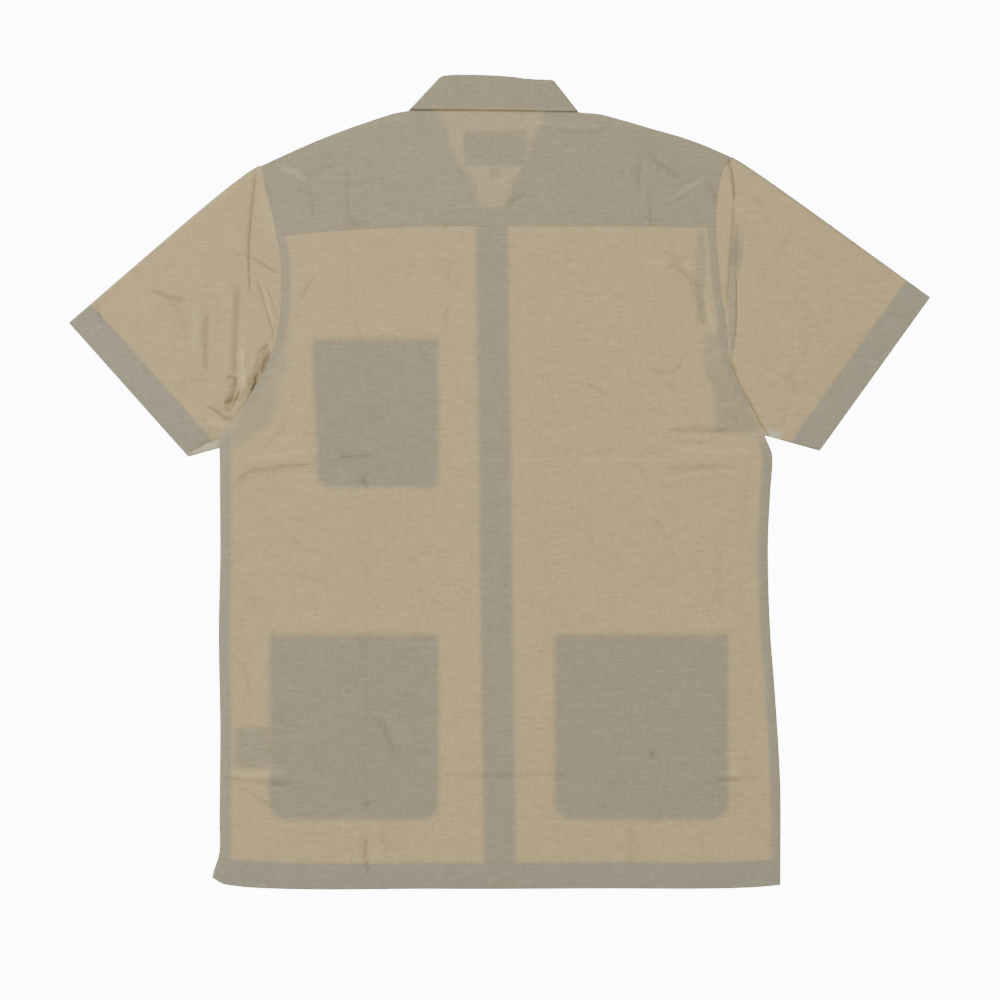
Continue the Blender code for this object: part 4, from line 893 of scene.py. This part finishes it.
def make_sleeve(row, creases, looks):
    s = stack()
    name, side, _, _, high, low, _ = row
    x, y, out, down = sleeve_plan(row, SLEEVE_PITCH)
    rise, painted_shading = crease_height(x, y, creases)
    along = (low[0] - high[0], low[1] - high[1])
    length = math.hypot(*along)
    cuff_away = np.abs((x - high[0]) * along[1] - (y - high[1]) * along[0]) / length
    edge_away = np.broadcast_to(np.minimum(down, 1.0 - down) * 260.0, x.shape)
    on_yoke = fade(curve(YOKE_SEAM, x) - y, -4.0, 0.0)
    body_z = mix(back_floor(x, y, s), yoke_surface(x, y, s, s["wall"] + s["gap"]), on_yoke) - SEAM_DIP
    own = s["wall"] + s["air"] + 0.8 * ripple(x, y, 0.8) + 0.5
    at_cuff = s["wall"] * 2 + 0.5 + 0.5 * (1 + ripple(x, y, 0.6))
    own = mix(own, at_cuff, fade(cuff_away, 4.0, 60.0))
    top = mix(body_z, own, 1.0 - fade(out, 3.0, 45.0))
    flush = fade(-y, -122.0, -108.0) if side > 0 else 0.5
    top = top + SEAM_DIP * flush * (1.0 - fade(out, 3.0, 4.6)) * fade(out, 14.0, 45.0)
    top = top + s["wall"] + rise
    top = np.maximum(top, 2 * s["wall"] + 0.1)
    # Painted shadow line along the lower part of the armhole seam
    at_seam = fade(out, 4.2, 6.0)
    low_seam = fade(y, 108.0, 122.0) if side > 0 else fade(np.abs(y - 84.0), 14.0, 28.0)
    painted_shading = painted_shading + 0.8 * at_seam * low_seam
    hem_line = np.abs(cuff_away - SLEEVE_HEM_DEPTH)
    top = top - 0.15 * fade(hem_line, 0.5, 2.0)
    round_off = np.sqrt(1.0 - (1.0 - np.clip(edge_away / 3.0, 0, 1)) ** 2)
    middle = s["wall"] * 1.1
    top = mix(middle, top, round_off)
    over_front = (s["wall"] + s["gap"]) * fade(out, 3.0, 5.0)
    bottom = mix(middle, over_front, round_off)
    # Painted cool tint and painted backlight shade on the hem band, painted backlight shade along the
    # folded edges, and a painted shade line at the hem's edge
    painted_cool_tint = fade(cuff_away, SLEEVE_HEM_DEPTH - 1.2, SLEEVE_HEM_DEPTH + 1.4)
    backlit_grey = 0.94 * painted_cool_tint
    backlit_grey = np.maximum(backlit_grey, 0.55 * fade(edge_away, 1.2, 3.0) * fade(down, 0.5, 0.6))
    painted_shading = painted_shading + 0.08 * fade(hem_line, 0.4, 1.6)
    if side < 0:
        # Painted backlight light on the single-layer strip, and a painted shadow line along its ledge
        strip = fade(inside(x, y, LEFT_STRIP), -1.0, 1.0)
        backlit_grey = mix(backlit_grey, -1.0, strip)
        ledge, _ = path_distance(x, y, LEFT_LEDGE)
        painted_shading = painted_shading + 0.8 * fade(np.abs(ledge), 0.4, 1.6)
    else:
        # Painted backlight shade on the doubled tuck, which is also lifted, and painted backlight light on
        # a single-layer strip
        strip = fade(inside(x, y, TUCK_LEFT + TUCK_RIGHT[::-1]), -1.5, 1.5) * fade(y, 215.0, 256.0)
        backlit_grey = np.maximum(backlit_grey, mix(0.6, 0.9, fade(-y, -225.0, -200.0)) * strip)
        top = top + 0.5 * strip
        backlit_grey = mix(backlit_grey, -1.0, fade(inside(x, y, RIGHT_STRIP), -1.0, 2.0))
    layers = (
        (x, x), (y, y), (top, bottom),
        (backlit_grey, np.clip(backlit_grey, 0, 1)), (painted_shading, np.zeros_like(painted_shading)), (painted_cool_tint, painted_cool_tint),
    )
    x, y, z, backlit_grey, painted_shading, painted_cool_tint = (np.concatenate([a, b[:, -2:0:-1]], axis=1) for a, b in layers)
    label = name.replace("sleeve", "sleeve_cloth")
    piece = cloth_piece(label, x, y, z, backlit_grey, painted_shading, s["wall"], looks, painted_cool_tint, ring=True, flip=side < 0)
    ride_as(piece, "shirt_cloth", name)


def collar_grid(stations, across):
    """Outer surface of the collar from the fall's edge over the fold and down the stand."""
    table = np.array(COLLAR)
    steps = np.arange(len(table))
    spots = np.linspace(0, len(table) - 1, stations)
    rows = [curve(list(zip(steps, table[:, k])), spots)[:, None] for k in range(6)]
    edge_x, edge_y, fold_x, fold_y, stand, turn = rows
    thick = COLLAR_THICKNESS
    core = COLLAR_CORE
    width = np.hypot(fold_x - edge_x, fold_y - edge_y)
    along_x, along_y = (fold_x - edge_x) / width, (fold_y - edge_y) / width
    side = np.where(spots[:, None] < spots[-1] / 2, -1.0, 1.0)
    out_x, out_y = side * np.abs(along_y), np.abs(along_x)
    level, rise = np.cos(np.radians(turn)), np.sin(np.radians(turn))
    bend = thick / 2
    fall = np.linspace(0.0, 1.0, across)[None, :]
    arc = np.radians(np.linspace(COLLAR_ROLL, -COLLAR_ROLL, COLLAR_ROLL_LINES))[None, :]
    down = np.linspace(0.0, 1.0, across // 2)[None, :]
    a = np.concatenate([
        (width - bend) * fall,
        width - bend + bend * np.cos(arc),
        mix(width - bend, width - stand, down),
    ], axis=1)
    b = np.concatenate([
        np.full((stations, across), thick),
        np.repeat(bend + bend * np.sin(arc), stations, axis=0),
        np.zeros((stations, across // 2)),
    ], axis=1)
    bow = COLLAR_BOW * np.sin(math.pi * np.clip(a / width, 0, 1)) * (b > bend)
    reach = core + thick
    out = (core + b - reach) * level
    x = edge_x + along_x * a + out_x * out
    y = edge_y + along_y * a + out_y * out
    z = COLLAR_MIDDLE + (core + b) * rise + bow * np.maximum(rise, 0.0)
    return x, y, z, a


def make_collar(looks):
    x, y, z, a = collar_grid(COLLAR_STATIONS, COLLAR_LINES)
    # Painted shadow along the fall's lower edge, a painted highlight line just above it, and painted
    # backlight shade a little lighter at the edge
    edge = fade(a, 0.5, 4.5)
    painted_shading = 0.3 * fade(a, 0.3, 1.0) - 0.12 * fade(np.abs(a - 2.4), 0.3, 1.3)
    piece = cloth_piece("collar_cloth", x, y, z, 0.97 - 0.08 * edge, painted_shading, COLLAR_CLOTH, looks, flip=True)
    ride_as(piece, "doubled_cloth", "collar")


def flat_patch(name, outline, bottom, thickness, looks, layers):
    """A flat piece of cloth cut to an outline, its edge softly turned."""
    bm = bmesh.new()
    face = bm.faces.new([bm.verts.new((MM * px, MM * py, MM * (bottom + thickness))) for px, py in outline])
    bm.normal_update()
    if face.normal.z < 0:
        face.normal_flip()
    mesh = bpy.data.meshes.new(name)
    bm.to_mesh(mesh)
    bm.free()
    for label, value in (("layers", layers), ("painted_shading", 0.0)):
        attribute = mesh.attributes.new(label, "FLOAT", "POINT")
        attribute.data.foreach_set("value", [value] * len(mesh.vertices))
    mesh.materials.append(looks)
    piece = bpy.data.objects.new(name, mesh)
    bpy.context.collection.objects.link(piece)
    thicken(piece, thickness)
    select_only(piece)
    bevel = piece.modifiers.new("turned edge", "BEVEL")
    bevel.width = MM * min(0.2, thickness * 0.3)
    bevel.segments = 2
    bpy.ops.object.modifier_apply(modifier=bevel.name)
    return piece


def rounded(left, right, bottom, top, corner):
    """Outline of a pocket, its lower corners rounded."""
    points = [(right, top), (left, top)]
    for centre, start in ((left + corner, 180.0), (right - corner, 270.0)):
        for angle in np.radians(np.linspace(start, start + 90.0, 8)):
            points.append((centre + corner * math.cos(angle), bottom + corner + corner * math.sin(angle)))
    return points


# Stitches and buttons


def plain_piece(name, points, faces, looks):
    """An object from corners in millimetres and their faces."""
    mesh = bpy.data.meshes.new(name)
    mesh.from_pydata((points * MM).tolist(), [], faces)
    mesh.materials.append(looks)
    piece = bpy.data.objects.new(name, mesh)
    bpy.context.collection.objects.link(piece)
    return piece


def solid_mesh(make):
    """Corners and faces of a shape made once by an operator, in millimetres."""
    bpy.ops.object.select_all(action="DESELECT")
    make()
    shape = bpy.context.active_object
    corners = np.array([tuple(v.co) for v in shape.data.vertices]) / MM
    faces = [tuple(f.vertices) for f in shape.data.polygons]
    bpy.data.objects.remove(shape, do_unlink=True)
    return corners, faces


def one_stitch():
    """A short rounded thread that lies along X."""
    length = bpy.context.scene.shirt_sizes.stitch

    def make():
        bpy.ops.mesh.primitive_uv_sphere_add(segments=6, ring_count=4, radius=length / 2)
        bpy.ops.transform.resize(value=(1.0, STITCH_WIDTH, STITCH_HEIGHT))
        bpy.ops.object.transform_apply(location=False, rotation=False, scale=True)

    return solid_mesh(make)


def along_path(path, pitch):
    """Evenly spaced spots on a path, each with its direction."""
    spots = []
    carried = pitch / 2
    for (ax, ay), (bx, by) in zip(path, path[1:]):
        length = math.hypot(bx - ax, by - ay)
        while carried <= length:
            t = carried / length
            spots.append((mix(ax, bx, t), mix(ay, by, t), math.atan2(by - ay, bx - ax)))
            carried += pitch
        carried -= length
    return spots


def make_stitches(name, piece, paths, looks, from_below=False):
    """Rows of stitches on a piece, each the same stitch set down on the cloth."""
    corners, faces = one_stitch()
    pitch = bpy.context.scene.shirt_sizes.stitch / MM * STITCH_SPACING
    mesh = piece.data
    tree = BVHTree.FromPolygons([v.co for v in mesh.vertices], [f.vertices for f in mesh.polygons])
    start, way, sink = (-0.05, 1.0, LOW_STITCH_SINK) if from_below else (0.05, -1.0, STITCH_SINK)
    points, quads = [], []
    for path in paths:
        for px, py, angle in along_path(path, pitch):
            place, normal, _, _ = tree.ray_cast(Vector((MM * px, MM * py, start)), Vector((0, 0, way)))
            if place is None:
                continue
            turned = Vector((math.cos(angle), math.sin(angle), 0.0))
            along = (turned - normal * turned.dot(normal)).normalized()
            frame_of = np.array([along, normal.cross(along), normal])
            first = sum(len(block) for block in points)
            points.append(corners @ frame_of + np.array(place - MM * sink * normal) / MM)
            quads += [tuple(first + n for n in face) for face in faces]
    row = plain_piece(name, np.concatenate(points), quads, looks)
    row.data.shade_smooth()
    ride_as(row, "shirt_cloth")


def offset_line(rows, low, high, rise, count=80):
    """Points along a table's curve from low to high, moved up by rise."""
    keys = np.linspace(low, high, count)
    return list(zip(keys, curve(rows, keys) + rise))


def cuff_line(row, depth, clear):
    """Line across a sleeve at a depth from its cuff."""
    _, side, _, _, high, low, _ = row
    run = (low[0] - high[0], low[1] - high[1])
    length = math.hypot(*run)
    inward = (-side * abs(run[1]) / length, abs(run[0]) / length)
    start = (high[0] + inward[0] * depth, high[1] + inward[1] * depth)
    return [(start[0] + run[0] * share, start[1] + run[1] * share) for share in (clear, 1.0 - clear)]


def armhole_lines(low, high, count):
    """Points beside both armholes, from one height to another."""
    heights = np.linspace(low, high, count)
    sides = ((1, LEFT_EDGE), (-1, RIGHT_EDGE))
    return [list(zip(curve(rows, heights) + side * STITCH_INSET, heights)) for side, rows in sides]


def make_all_stitches(looks):
    pieces = bpy.data.objects
    hem = offset_line(HEM_LINE, -268.0, 266.0, HEM_DEPTH - STITCH_INSET)
    back_rows = [hem, *armhole_lines(52.0, 240.0, 60)]
    make_stitches("back_stitches", pieces["back_cloth"], back_rows, looks)
    seam = offset_line(YOKE_SEAM, -212.0, 205.0, YOKE_STITCH_INSET)
    yoke_rows = [seam, *armhole_lines(246.0, 300.0, 20)]
    make_stitches("yoke_stitches", pieces["yoke_cloth"], yoke_rows, looks)
    for row in SLEEVES:
        piece = pieces[row[0].replace("sleeve", "sleeve_cloth")]
        line = cuff_line(row, SLEEVE_HEM_DEPTH - STITCH_INSET, 0.03)
        make_stitches(row[0] + "_stitches", piece, [line], looks)
    collar_edge = [(row[0], row[1] + 3.0) for row in COLLAR if row[5] == 90.0]
    make_stitches("collar_stitches", pieces["collar_cloth"], [collar_edge], looks)
    for name, left, right, bottom, top, corner in POCKETS:
        near, far = left + STITCH_INSET, right - STITCH_INSET
        inset = rounded(near, far, bottom + STITCH_INSET, top, corner - STITCH_INSET)
        top_hem = [(near, top - POCKET_HEM), (far, top - POCKET_HEM)]
        piece = pieces[name + "_cloth"]
        make_stitches(name + "_stitches", piece, [inset[1:] + inset[:1], top_hem], looks, True)
    placket = []
    for side in (-1, 1):
        heights = np.linspace(-384.0, 236.0, 40)
        placket.append([(band_centre(y) + side * (BAND_WIDTH / 2 - BAND_STITCH_INSET), y) for y in heights])
    make_stitches("placket_stitches", pieces["front_cloth_left"], placket, looks, True)


def make_buttons(looks, thread):
    """Six four-hole buttons, modelled once and copied down the overlap."""
    radius = BUTTON_DIAMETER / 2

    def make():
        bpy.ops.mesh.primitive_cylinder_add(vertices=40, radius=MM * radius, depth=MM * BUTTON_THICKNESS)
        disc = bpy.context.active_object
        bpy.ops.object.mode_set(mode="EDIT")
        bpy.ops.mesh.select_mode(type="FACE")
        bpy.ops.mesh.select_all(action="DESELECT")
        bpy.ops.object.mode_set(mode="OBJECT")
        for face in disc.data.polygons:
            face.select = face.normal.z < -0.9
        bpy.ops.object.mode_set(mode="EDIT")
        bpy.ops.mesh.inset(thickness=MM * BUTTON_RIM)
        bpy.ops.transform.translate(value=(0, 0, MM * BUTTON_DISH))
        bpy.ops.object.mode_set(mode="OBJECT")
        for index in range(4):
            angle = math.radians(45 + 90 * index)
            bpy.ops.mesh.primitive_cylinder_add(
                vertices=12, radius=MM * BUTTON_HOLE, depth=MM * 2 * BUTTON_THICKNESS,
                location=(MM * BUTTON_HOLES * math.cos(angle), MM * BUTTON_HOLES * math.sin(angle), 0),
            )
            hole = bpy.context.active_object
            select_only(disc)
            cut = disc.modifiers.new("hole", "BOOLEAN")
            cut.object = hole
            cut.operation = "DIFFERENCE"
            bpy.ops.object.modifier_apply(modifier=cut.name)
            bpy.data.objects.remove(hole, do_unlink=True)
        rounding = disc.modifiers.new("rounding", "BEVEL")
        rounding.width = MM * 0.2
        rounding.segments = 2
        bpy.ops.object.modifier_apply(modifier=rounding.name)

    corners, faces = solid_mesh(make)
    stitch, stitch_faces = one_stitch()
    dish = BUTTON_DISH - BUTTON_THICKNESS / 2
    bars = [
        stitch * np.array([1.1, 1.4, 2.0]) + np.array([0.0, side * BUTTON_HOLES * 0.7, dish])
        for side in (-1.0, 1.0)
    ]
    bar_faces = stitch_faces + [tuple(len(stitch) + n for n in face) for face in stitch_faces]
    for number in range(BUTTON_COUNT):
        label = "button_%d" % (number + 1)
        y = BUTTON_TOP_HEIGHT - number * BUTTON_SPACING
        place = np.array([band_centre(y), y, BUTTON_THICKNESS / 2])
        ride_as(plain_piece(label + "_shell", corners + place, faces, looks), "button", label)
        ride_as(plain_piece(label + "_thread", np.concatenate(bars) + place, bar_faces, thread), "button")


# Materials


def new_looks(name, **values):
    """A material with values on its shader's sockets."""
    looks = bpy.data.materials.new(name)
    looks.use_nodes = True
    shader = looks.node_tree.nodes["Principled BSDF"]
    for key, value in values.items():
        shader.inputs[key.replace("_", " ")].default_value = value
    return looks, looks.node_tree, shader


def node(tree, kind, place, inputs, **values):
    """A node with its settings, and with values and links on its sockets."""
    item = tree.nodes.new(kind)
    item.location = place
    for key, value in values.items():
        setattr(item, key, value)
    for key, value in inputs.items():
        if isinstance(value, bpy.types.NodeSocket):
            tree.links.new(value, item.inputs[key])
        else:
            item.inputs[key].default_value = value
    return item


def object_place(tree):
    return node(tree, "ShaderNodeTexCoord", (-1500, 0), {}).outputs["Object"]


def attribute(tree, place, name):
    return node(tree, "ShaderNodeAttribute", place, {}, attribute_name=name).outputs["Fac"]


def noise(tree, place, vector, scale, detail, roughness=0.5):
    inputs = {"Vector": vector, "Scale": scale, "Detail": detail, "Roughness": roughness}
    return node(tree, "ShaderNodeTexNoise", place, inputs).outputs["Fac"]


def blend(tree, place, factor, low, high):
    """Colour that goes from low to high with the factor."""
    inputs = {"Factor": factor, "A": low, "B": high}
    return node(tree, "ShaderNodeMix", place, inputs, data_type="RGBA").outputs["Result"]


def remap(tree, place, value, source, target, clamp=True):
    """Value moved from one range to another."""
    inputs = {"Value": value, "From Min": source[0], "From Max": source[1]}
    inputs.update({"To Min": target[0], "To Max": target[1]})
    return node(tree, "ShaderNodeMapRange", place, inputs, clamp=clamp).outputs["Result"]


def product(tree, place, first, second, kind="ShaderNodeMath"):
    return node(tree, kind, place, {0: first, 1: second}, operation="MULTIPLY").outputs[0]


def cloth_material(name, tan, backlit_grey, single, weave=1.0):
    """Plain-weave cotton: slubbed threads, painted backlight shade by the layers beneath, painted shade and
    highlights in the creases, and a painted cool tint on the hems.
    """
    looks, tree, shader = new_looks(
        name, Roughness=0.88, Sheen_Weight=0.12, Sheen_Roughness=0.5, Specular_IOR_Level=0.25
    )
    place = object_place(tree)
    layers = attribute(tree, (-1300, 400), "layers")
    # Painted backlight shade: greyer where more layers lie beneath, lighter where one layer lies alone
    double = blend(tree, (-900, 400), layers, (*tan, 1), (*backlit_grey, 1))
    thin = node(
        tree, "ShaderNodeMath", (-1100, 550), {0: layers, 1: -1.0}, operation="MULTIPLY", use_clamp=True
    )
    lit = blend(tree, (-700, 400), thin.outputs[0], double, (*single, 1))
    threads = []
    for height, size in ((-200, (1.0, 14.0, 1.0)), (-500, (14.0, 1.0, 1.0))):
        inputs = {"Vector": place, "Scale": [THREADS / n for n in size]}
        stretch = node(tree, "ShaderNodeMapping", (-1300, height), inputs)
        threads.append(noise(tree, (-1100, height), stretch.outputs["Vector"], 1.0, 2.0))
    inputs = {0: threads[0], 1: WARP_SHARE, 2: threads[1]}
    both = node(tree, "ShaderNodeMath", (-900, -300), inputs, operation="MULTIPLY_ADD").outputs[0]
    blotch = noise(tree, (-1100, -800), place, 110.0, 4.0, 0.7)
    worn = noise(tree, (-1100, -1100), place, 240.0, 5.0, 0.8)
    mottle = remap(tree, (-900, -1100), worn, (0.25, 0.75), (1.0 - MOTTLE_TONE, 1.0 + MOTTLE_TONE))
    tint = blend(tree, (-900, -700), blotch, (0.94, 1.01, 0.95, 1), (1.06, 0.99, 1.05, 1))
    span = (0.3 * (1.0 + WARP_SHARE), 0.7 * (1.0 + WARP_SHARE))
    tones = (1.0 - THREAD_TONE * weave, 1.0 + THREAD_TONE * weave)
    level = remap(tree, (-700, -300), both, span, tones)
    # Painted shade in creases, seams and hems darkens the colour, and a negative value paints a highlight
    painted_shading = attribute(tree, (-1300, 200), "painted_shading")
    painted_crease_shade = remap(tree, (-1100, 100), painted_shading, (0.0, 1.0), (1.0, 1.0 - PAINTED_CREASE_SHADE), clamp=False)
    tone = product(tree, (-500, 0), level, painted_crease_shade)
    # Painted cool tint on the backlit hems and side bands
    painted_cool_tint = attribute(tree, (-1300, 700), "painted_cool_tint")
    painted_cool_colour = blend(tree, (-700, 650), painted_cool_tint, (1, 1, 1, 1), (0.99, 1.02, 1.09, 1))
    both_tints = product(tree, (-600, 500), tint, painted_cool_colour, "ShaderNodeVectorMath")
    tinted = product(tree, (-500, 300), lit, both_tints, "ShaderNodeVectorMath")
    uneven = product(tree, (-400, 0), tone, mottle)
    final = node(tree, "ShaderNodeVectorMath", (-300, 200), {0: tinted, "Scale": uneven}, operation="SCALE")
    tree.links.new(final.outputs["Vector"], shader.inputs["Base Color"])
    inputs = {"Strength": 0.35 * weave, "Distance": 0.0002, "Height": both}
    bump = node(tree, "ShaderNodeBump", (-300, -300), inputs)
    tree.links.new(bump.outputs["Normal"], shader.inputs["Normal"])
    return looks


def looks_of(name):
    """The shirt's materials by name, made once from the panel's colours."""
    if name in bpy.data.materials:
        return bpy.data.materials[name]
    colours = bpy.context.scene.shirt_colours
    single = tuple(colours.single)
    if name == "shirt_cotton":
        return cloth_material(name, tuple(colours.tan), tuple(colours.backlit_grey), single)
    if name == "shirt_thread":
        # The thread takes the painted backlight grey, a little darker
        backlit_grey = tuple(0.94 * c for c in colours.backlit_grey)
        return cloth_material(name, backlit_grey, backlit_grey, backlit_grey, 0.3)
    if name == "shirt_label":
        return cloth_material(name, tuple(colours.label), tuple(colours.label), single, 0.5)
    return button_material(name, tuple(colours.button))


def button_material(name, colour):
    """Horn-like plastic with a faint swirl."""
    looks, tree, shader = new_looks(name, Roughness=0.35)
    swirl = noise(tree, (-700, 0), object_place(tree), 260.0, 4.0)
    low, high = ((*[c * share for c in colour], 1) for share in (0.55, 1.35))
    tree.links.new(blend(tree, (-400, 0), swirl, low, high), shader.inputs["Base Color"])
    return looks


# Panel values


class ShirtSizes(bpy.types.PropertyGroup):
    cloth: bpy.props.FloatProperty(
        name="Cloth", description="Thickness of one layer of cloth", default=0.00045,
        unit="LENGTH", precision=5,
    )
    air: bpy.props.FloatProperty(
        name="Air", description="Height of the back over the fronts", default=0.0013,
        unit="LENGTH", precision=5,
    )
    stitch: bpy.props.FloatProperty(
        name="Stitch", description="Length of one stitch", default=0.0026, unit="LENGTH", precision=5
    )


class ShirtColours(bpy.types.PropertyGroup):
    tan: bpy.props.FloatVectorProperty(
        name="Tan", description="Cloth where two layers lie together", subtype="COLOR",
        default=(0.513, 0.389, 0.196)
    )
    # Painted backlight shade where four layers or more lie beneath
    backlit_grey: bpy.props.FloatVectorProperty(
        name="Grey", description="Cloth where four layers or more lie together", subtype="COLOR",
        default=(0.324, 0.284, 0.186)
    )
    # Painted backlight light where one layer lies alone
    single: bpy.props.FloatVectorProperty(
        name="Single", description="Cloth where one layer lies alone", subtype="COLOR",
        default=(0.589, 0.503, 0.313)
    )
    label: bpy.props.FloatVectorProperty(
        name="Label", description="Woven labels", subtype="COLOR", default=(0.30, 0.28, 0.22)
    )
    button: bpy.props.FloatVectorProperty(
        name="Button", description="Buttons", subtype="COLOR", default=(0.20, 0.13, 0.08)
    )


# One operator for each kind of piece


class SHIRT_OT_back(bpy.types.Operator):
    """Make the back below the yoke"""

    bl_idname = "shirt.back"
    bl_label = "Back"

    def execute(self, context):
        make_back(looks_of("shirt_cotton"))
        return {"FINISHED"}


class SHIRT_OT_yoke(bpy.types.Operator):
    """Make the two layers of the yoke"""

    bl_idname = "shirt.yoke"
    bl_label = "Yoke"

    def execute(self, context):
        make_yoke(looks_of("shirt_cotton"))
        return {"FINISHED"}


class SHIRT_OT_fronts(bpy.types.Operator):
    """Make the left and the right front"""

    bl_idname = "shirt.fronts"
    bl_label = "Fronts"

    def execute(self, context):
        make_fronts(looks_of("shirt_cotton"))
        return {"FINISHED"}


class SHIRT_OT_sleeves(bpy.types.Operator):
    """Make the two sleeves"""

    bl_idname = "shirt.sleeves"
    bl_label = "Sleeves"

    def execute(self, context):
        for row, creases in zip(SLEEVES, (LEFT_SLEEVE_CREASES, RIGHT_SLEEVE_CREASES)):
            make_sleeve(row, creases, looks_of("shirt_cotton"))
        return {"FINISHED"}


class SHIRT_OT_collar(bpy.types.Operator):
    """Make the collar"""

    bl_idname = "shirt.collar"
    bl_label = "Collar"

    def execute(self, context):
        make_collar(looks_of("shirt_cotton"))
        return {"FINISHED"}


class SHIRT_OT_small_cloth(bpy.types.Operator):
    """Make the lapels, pockets and labels"""

    bl_idname = "shirt.small_cloth"
    bl_label = "Lapels, pockets and labels"

    def execute(self, context):
        s = stack()
        cotton = looks_of("shirt_cotton")
        label = looks_of("shirt_label")
        # The layers value of each piece sets its painted backlight shade
        for side, outline in (("left", LAPEL_LEFT), ("right", LAPEL_RIGHT)):
            piece = flat_patch("lapel_cloth_" + side, outline, 0.0, LAPEL_THICKNESS, cotton, 0.9)
            ride_as(piece, "doubled_cloth", "lapel_" + side)
        for name, left, right, bottom, top, corner in POCKETS:
            outline = rounded(left, right, bottom, top, corner)
            piece = flat_patch(name + "_cloth", outline, 0.0, s["wall"], cotton, 0.5)
            ride_as(piece, "doubled_cloth", name)
        bottom_of_label = s["yoke_high"] - LABEL_CLEARANCE - LABEL_THICKNESS
        for name, box in (("neck_label", NECK_LABEL), ("size_tab", SIZE_TAB)):
            left, right, bottom, top = box
            outline = ((left, bottom), (right, bottom), (right, top), (left, top))
            piece = flat_patch(name + "_cloth", outline, bottom_of_label, LABEL_THICKNESS, label, 0.0)
            ride_as(piece, "label_cloth", name)
        across = np.linspace(*CARE_LABEL[:2], CARE_LABEL_LINES)
        x, y = np.meshgrid(across, np.linspace(*CARE_LABEL[2:], CARE_LABEL_LINES))
        z = left_floor(x, y, s) + s["wall"] + CARE_LABEL_LIFT
        piece = cloth_piece("care_label_cloth", x, y, z, 0.0, 0.0, CARE_LABEL_THICKNESS, label)
        ride_as(piece, "label_cloth", "care_label")
        return {"FINISHED"}


class SHIRT_OT_stitches(bpy.types.Operator):
    """Make the rows of stitches on the finished cloth"""

    bl_idname = "shirt.stitches"
    bl_label = "Stitches"

    def execute(self, context):
        make_all_stitches(looks_of("shirt_thread"))
        return {"FINISHED"}


class SHIRT_OT_buttons(bpy.types.Operator):
    """Make the buttons and their thread"""

    bl_idname = "shirt.buttons"
    bl_label = "Buttons"

    def execute(self, context):
        make_buttons(looks_of("button_shell"), looks_of("shirt_thread"))
        return {"FINISHED"}


class SHIRT_OT_stage(bpy.types.Operator):
    """Make the floor, the lights and the camera"""

    bl_idname = "shirt.stage"
    bl_label = "Stage"

    def execute(self, context):
        bpy.ops.object.select_all(action="DESELECT")
        bpy.ops.mesh.primitive_plane_add(size=FLOOR_SIZE, location=(0, 0, -FLOOR_DROP))
        floor = context.active_object
        floor.name = "floor"
        looks, tree, shader = new_looks("floor_white", Base_Color=(0.9, 0.9, 0.9, 1), Roughness=0.9)
        bright = node(tree, "ShaderNodeEmission", (0, -200), {"Strength": FLOOR_GLOW})
        ray = node(tree, "ShaderNodeLightPath", (0, 300), {})
        inputs = {"Fac": ray.outputs["Is Camera Ray"]}
        inputs.update({1: shader.outputs["BSDF"], 2: bright.outputs["Emission"]})
        seen = node(tree, "ShaderNodeMixShader", (300, 0), inputs)
        tree.links.new(seen.outputs["Shader"], tree.nodes["Material Output"].inputs["Surface"])
        floor.data.materials.append(looks)
        world = bpy.data.worlds.new("studio")
        world.use_nodes = True
        background = world.node_tree.nodes["Background"]
        background.inputs["Color"].default_value = (1, 1, 1, 1)
        background.inputs["Strength"].default_value = WORLD_STRENGTH
        context.scene.world = world
        for name, place, size, power in LIGHTS:
            light = bpy.data.lights.new(name, "AREA")
            light.size = size
            light.energy = power
            lamp = bpy.data.objects.new(name, light)
            lamp.location = place
            lamp.rotation_euler = (-Vector(place)).to_track_quat("-Z", "Y").to_euler()
            context.collection.objects.link(lamp)
        camera = bpy.data.cameras.new("camera")
        camera.lens = CAMERA_LENS
        camera.sensor_width = SENSOR_WIDTH
        eye = bpy.data.objects.new("camera", camera)
        eye.location = [MM * c for c in CAMERA_PLACE]
        context.collection.objects.link(eye)
        context.scene.camera = eye
        return {"FINISHED"}


class SHIRT_PT_panel(bpy.types.Panel):
    """Sizes, colours and pieces of the shirt"""

    bl_label = "Shirt"
    bl_idname = "SHIRT_PT_panel"
    bl_space_type = "VIEW_3D"
    bl_region_type = "UI"
    bl_category = "Shirt"

    def draw(self, context):
        for group in (context.scene.shirt_sizes, context.scene.shirt_colours):
            for key in group.__annotations__:
                self.layout.prop(group, key)
        for operator in OPERATORS:
            self.layout.operator(operator.bl_idname)


OPERATORS = (
    SHIRT_OT_stage,
    SHIRT_OT_back,
    SHIRT_OT_yoke,
    SHIRT_OT_fronts,
    SHIRT_OT_sleeves,
    SHIRT_OT_collar,
    SHIRT_OT_small_cloth,
    SHIRT_OT_stitches,
    SHIRT_OT_buttons,
)
CLASSES = (ShirtSizes, ShirtColours) + OPERATORS + (SHIRT_PT_panel,)


def register():
    for item in CLASSES:
        bpy.utils.register_class(item)
    bpy.types.Scene.shirt_sizes = bpy.props.PointerProperty(type=ShirtSizes)
    bpy.types.Scene.shirt_colours = bpy.props.PointerProperty(type=ShirtColours)


def unregister():
    del bpy.types.Scene.shirt_colours
    del bpy.types.Scene.shirt_sizes
    for item in reversed(CLASSES):
        bpy.utils.unregister_class(item)


def main():
    register()
    for operator in OPERATORS:
        group, name = operator.bl_idname.split(".")
        getattr(getattr(bpy.ops, group), name)()


if __name__ == "__main__":
    main()
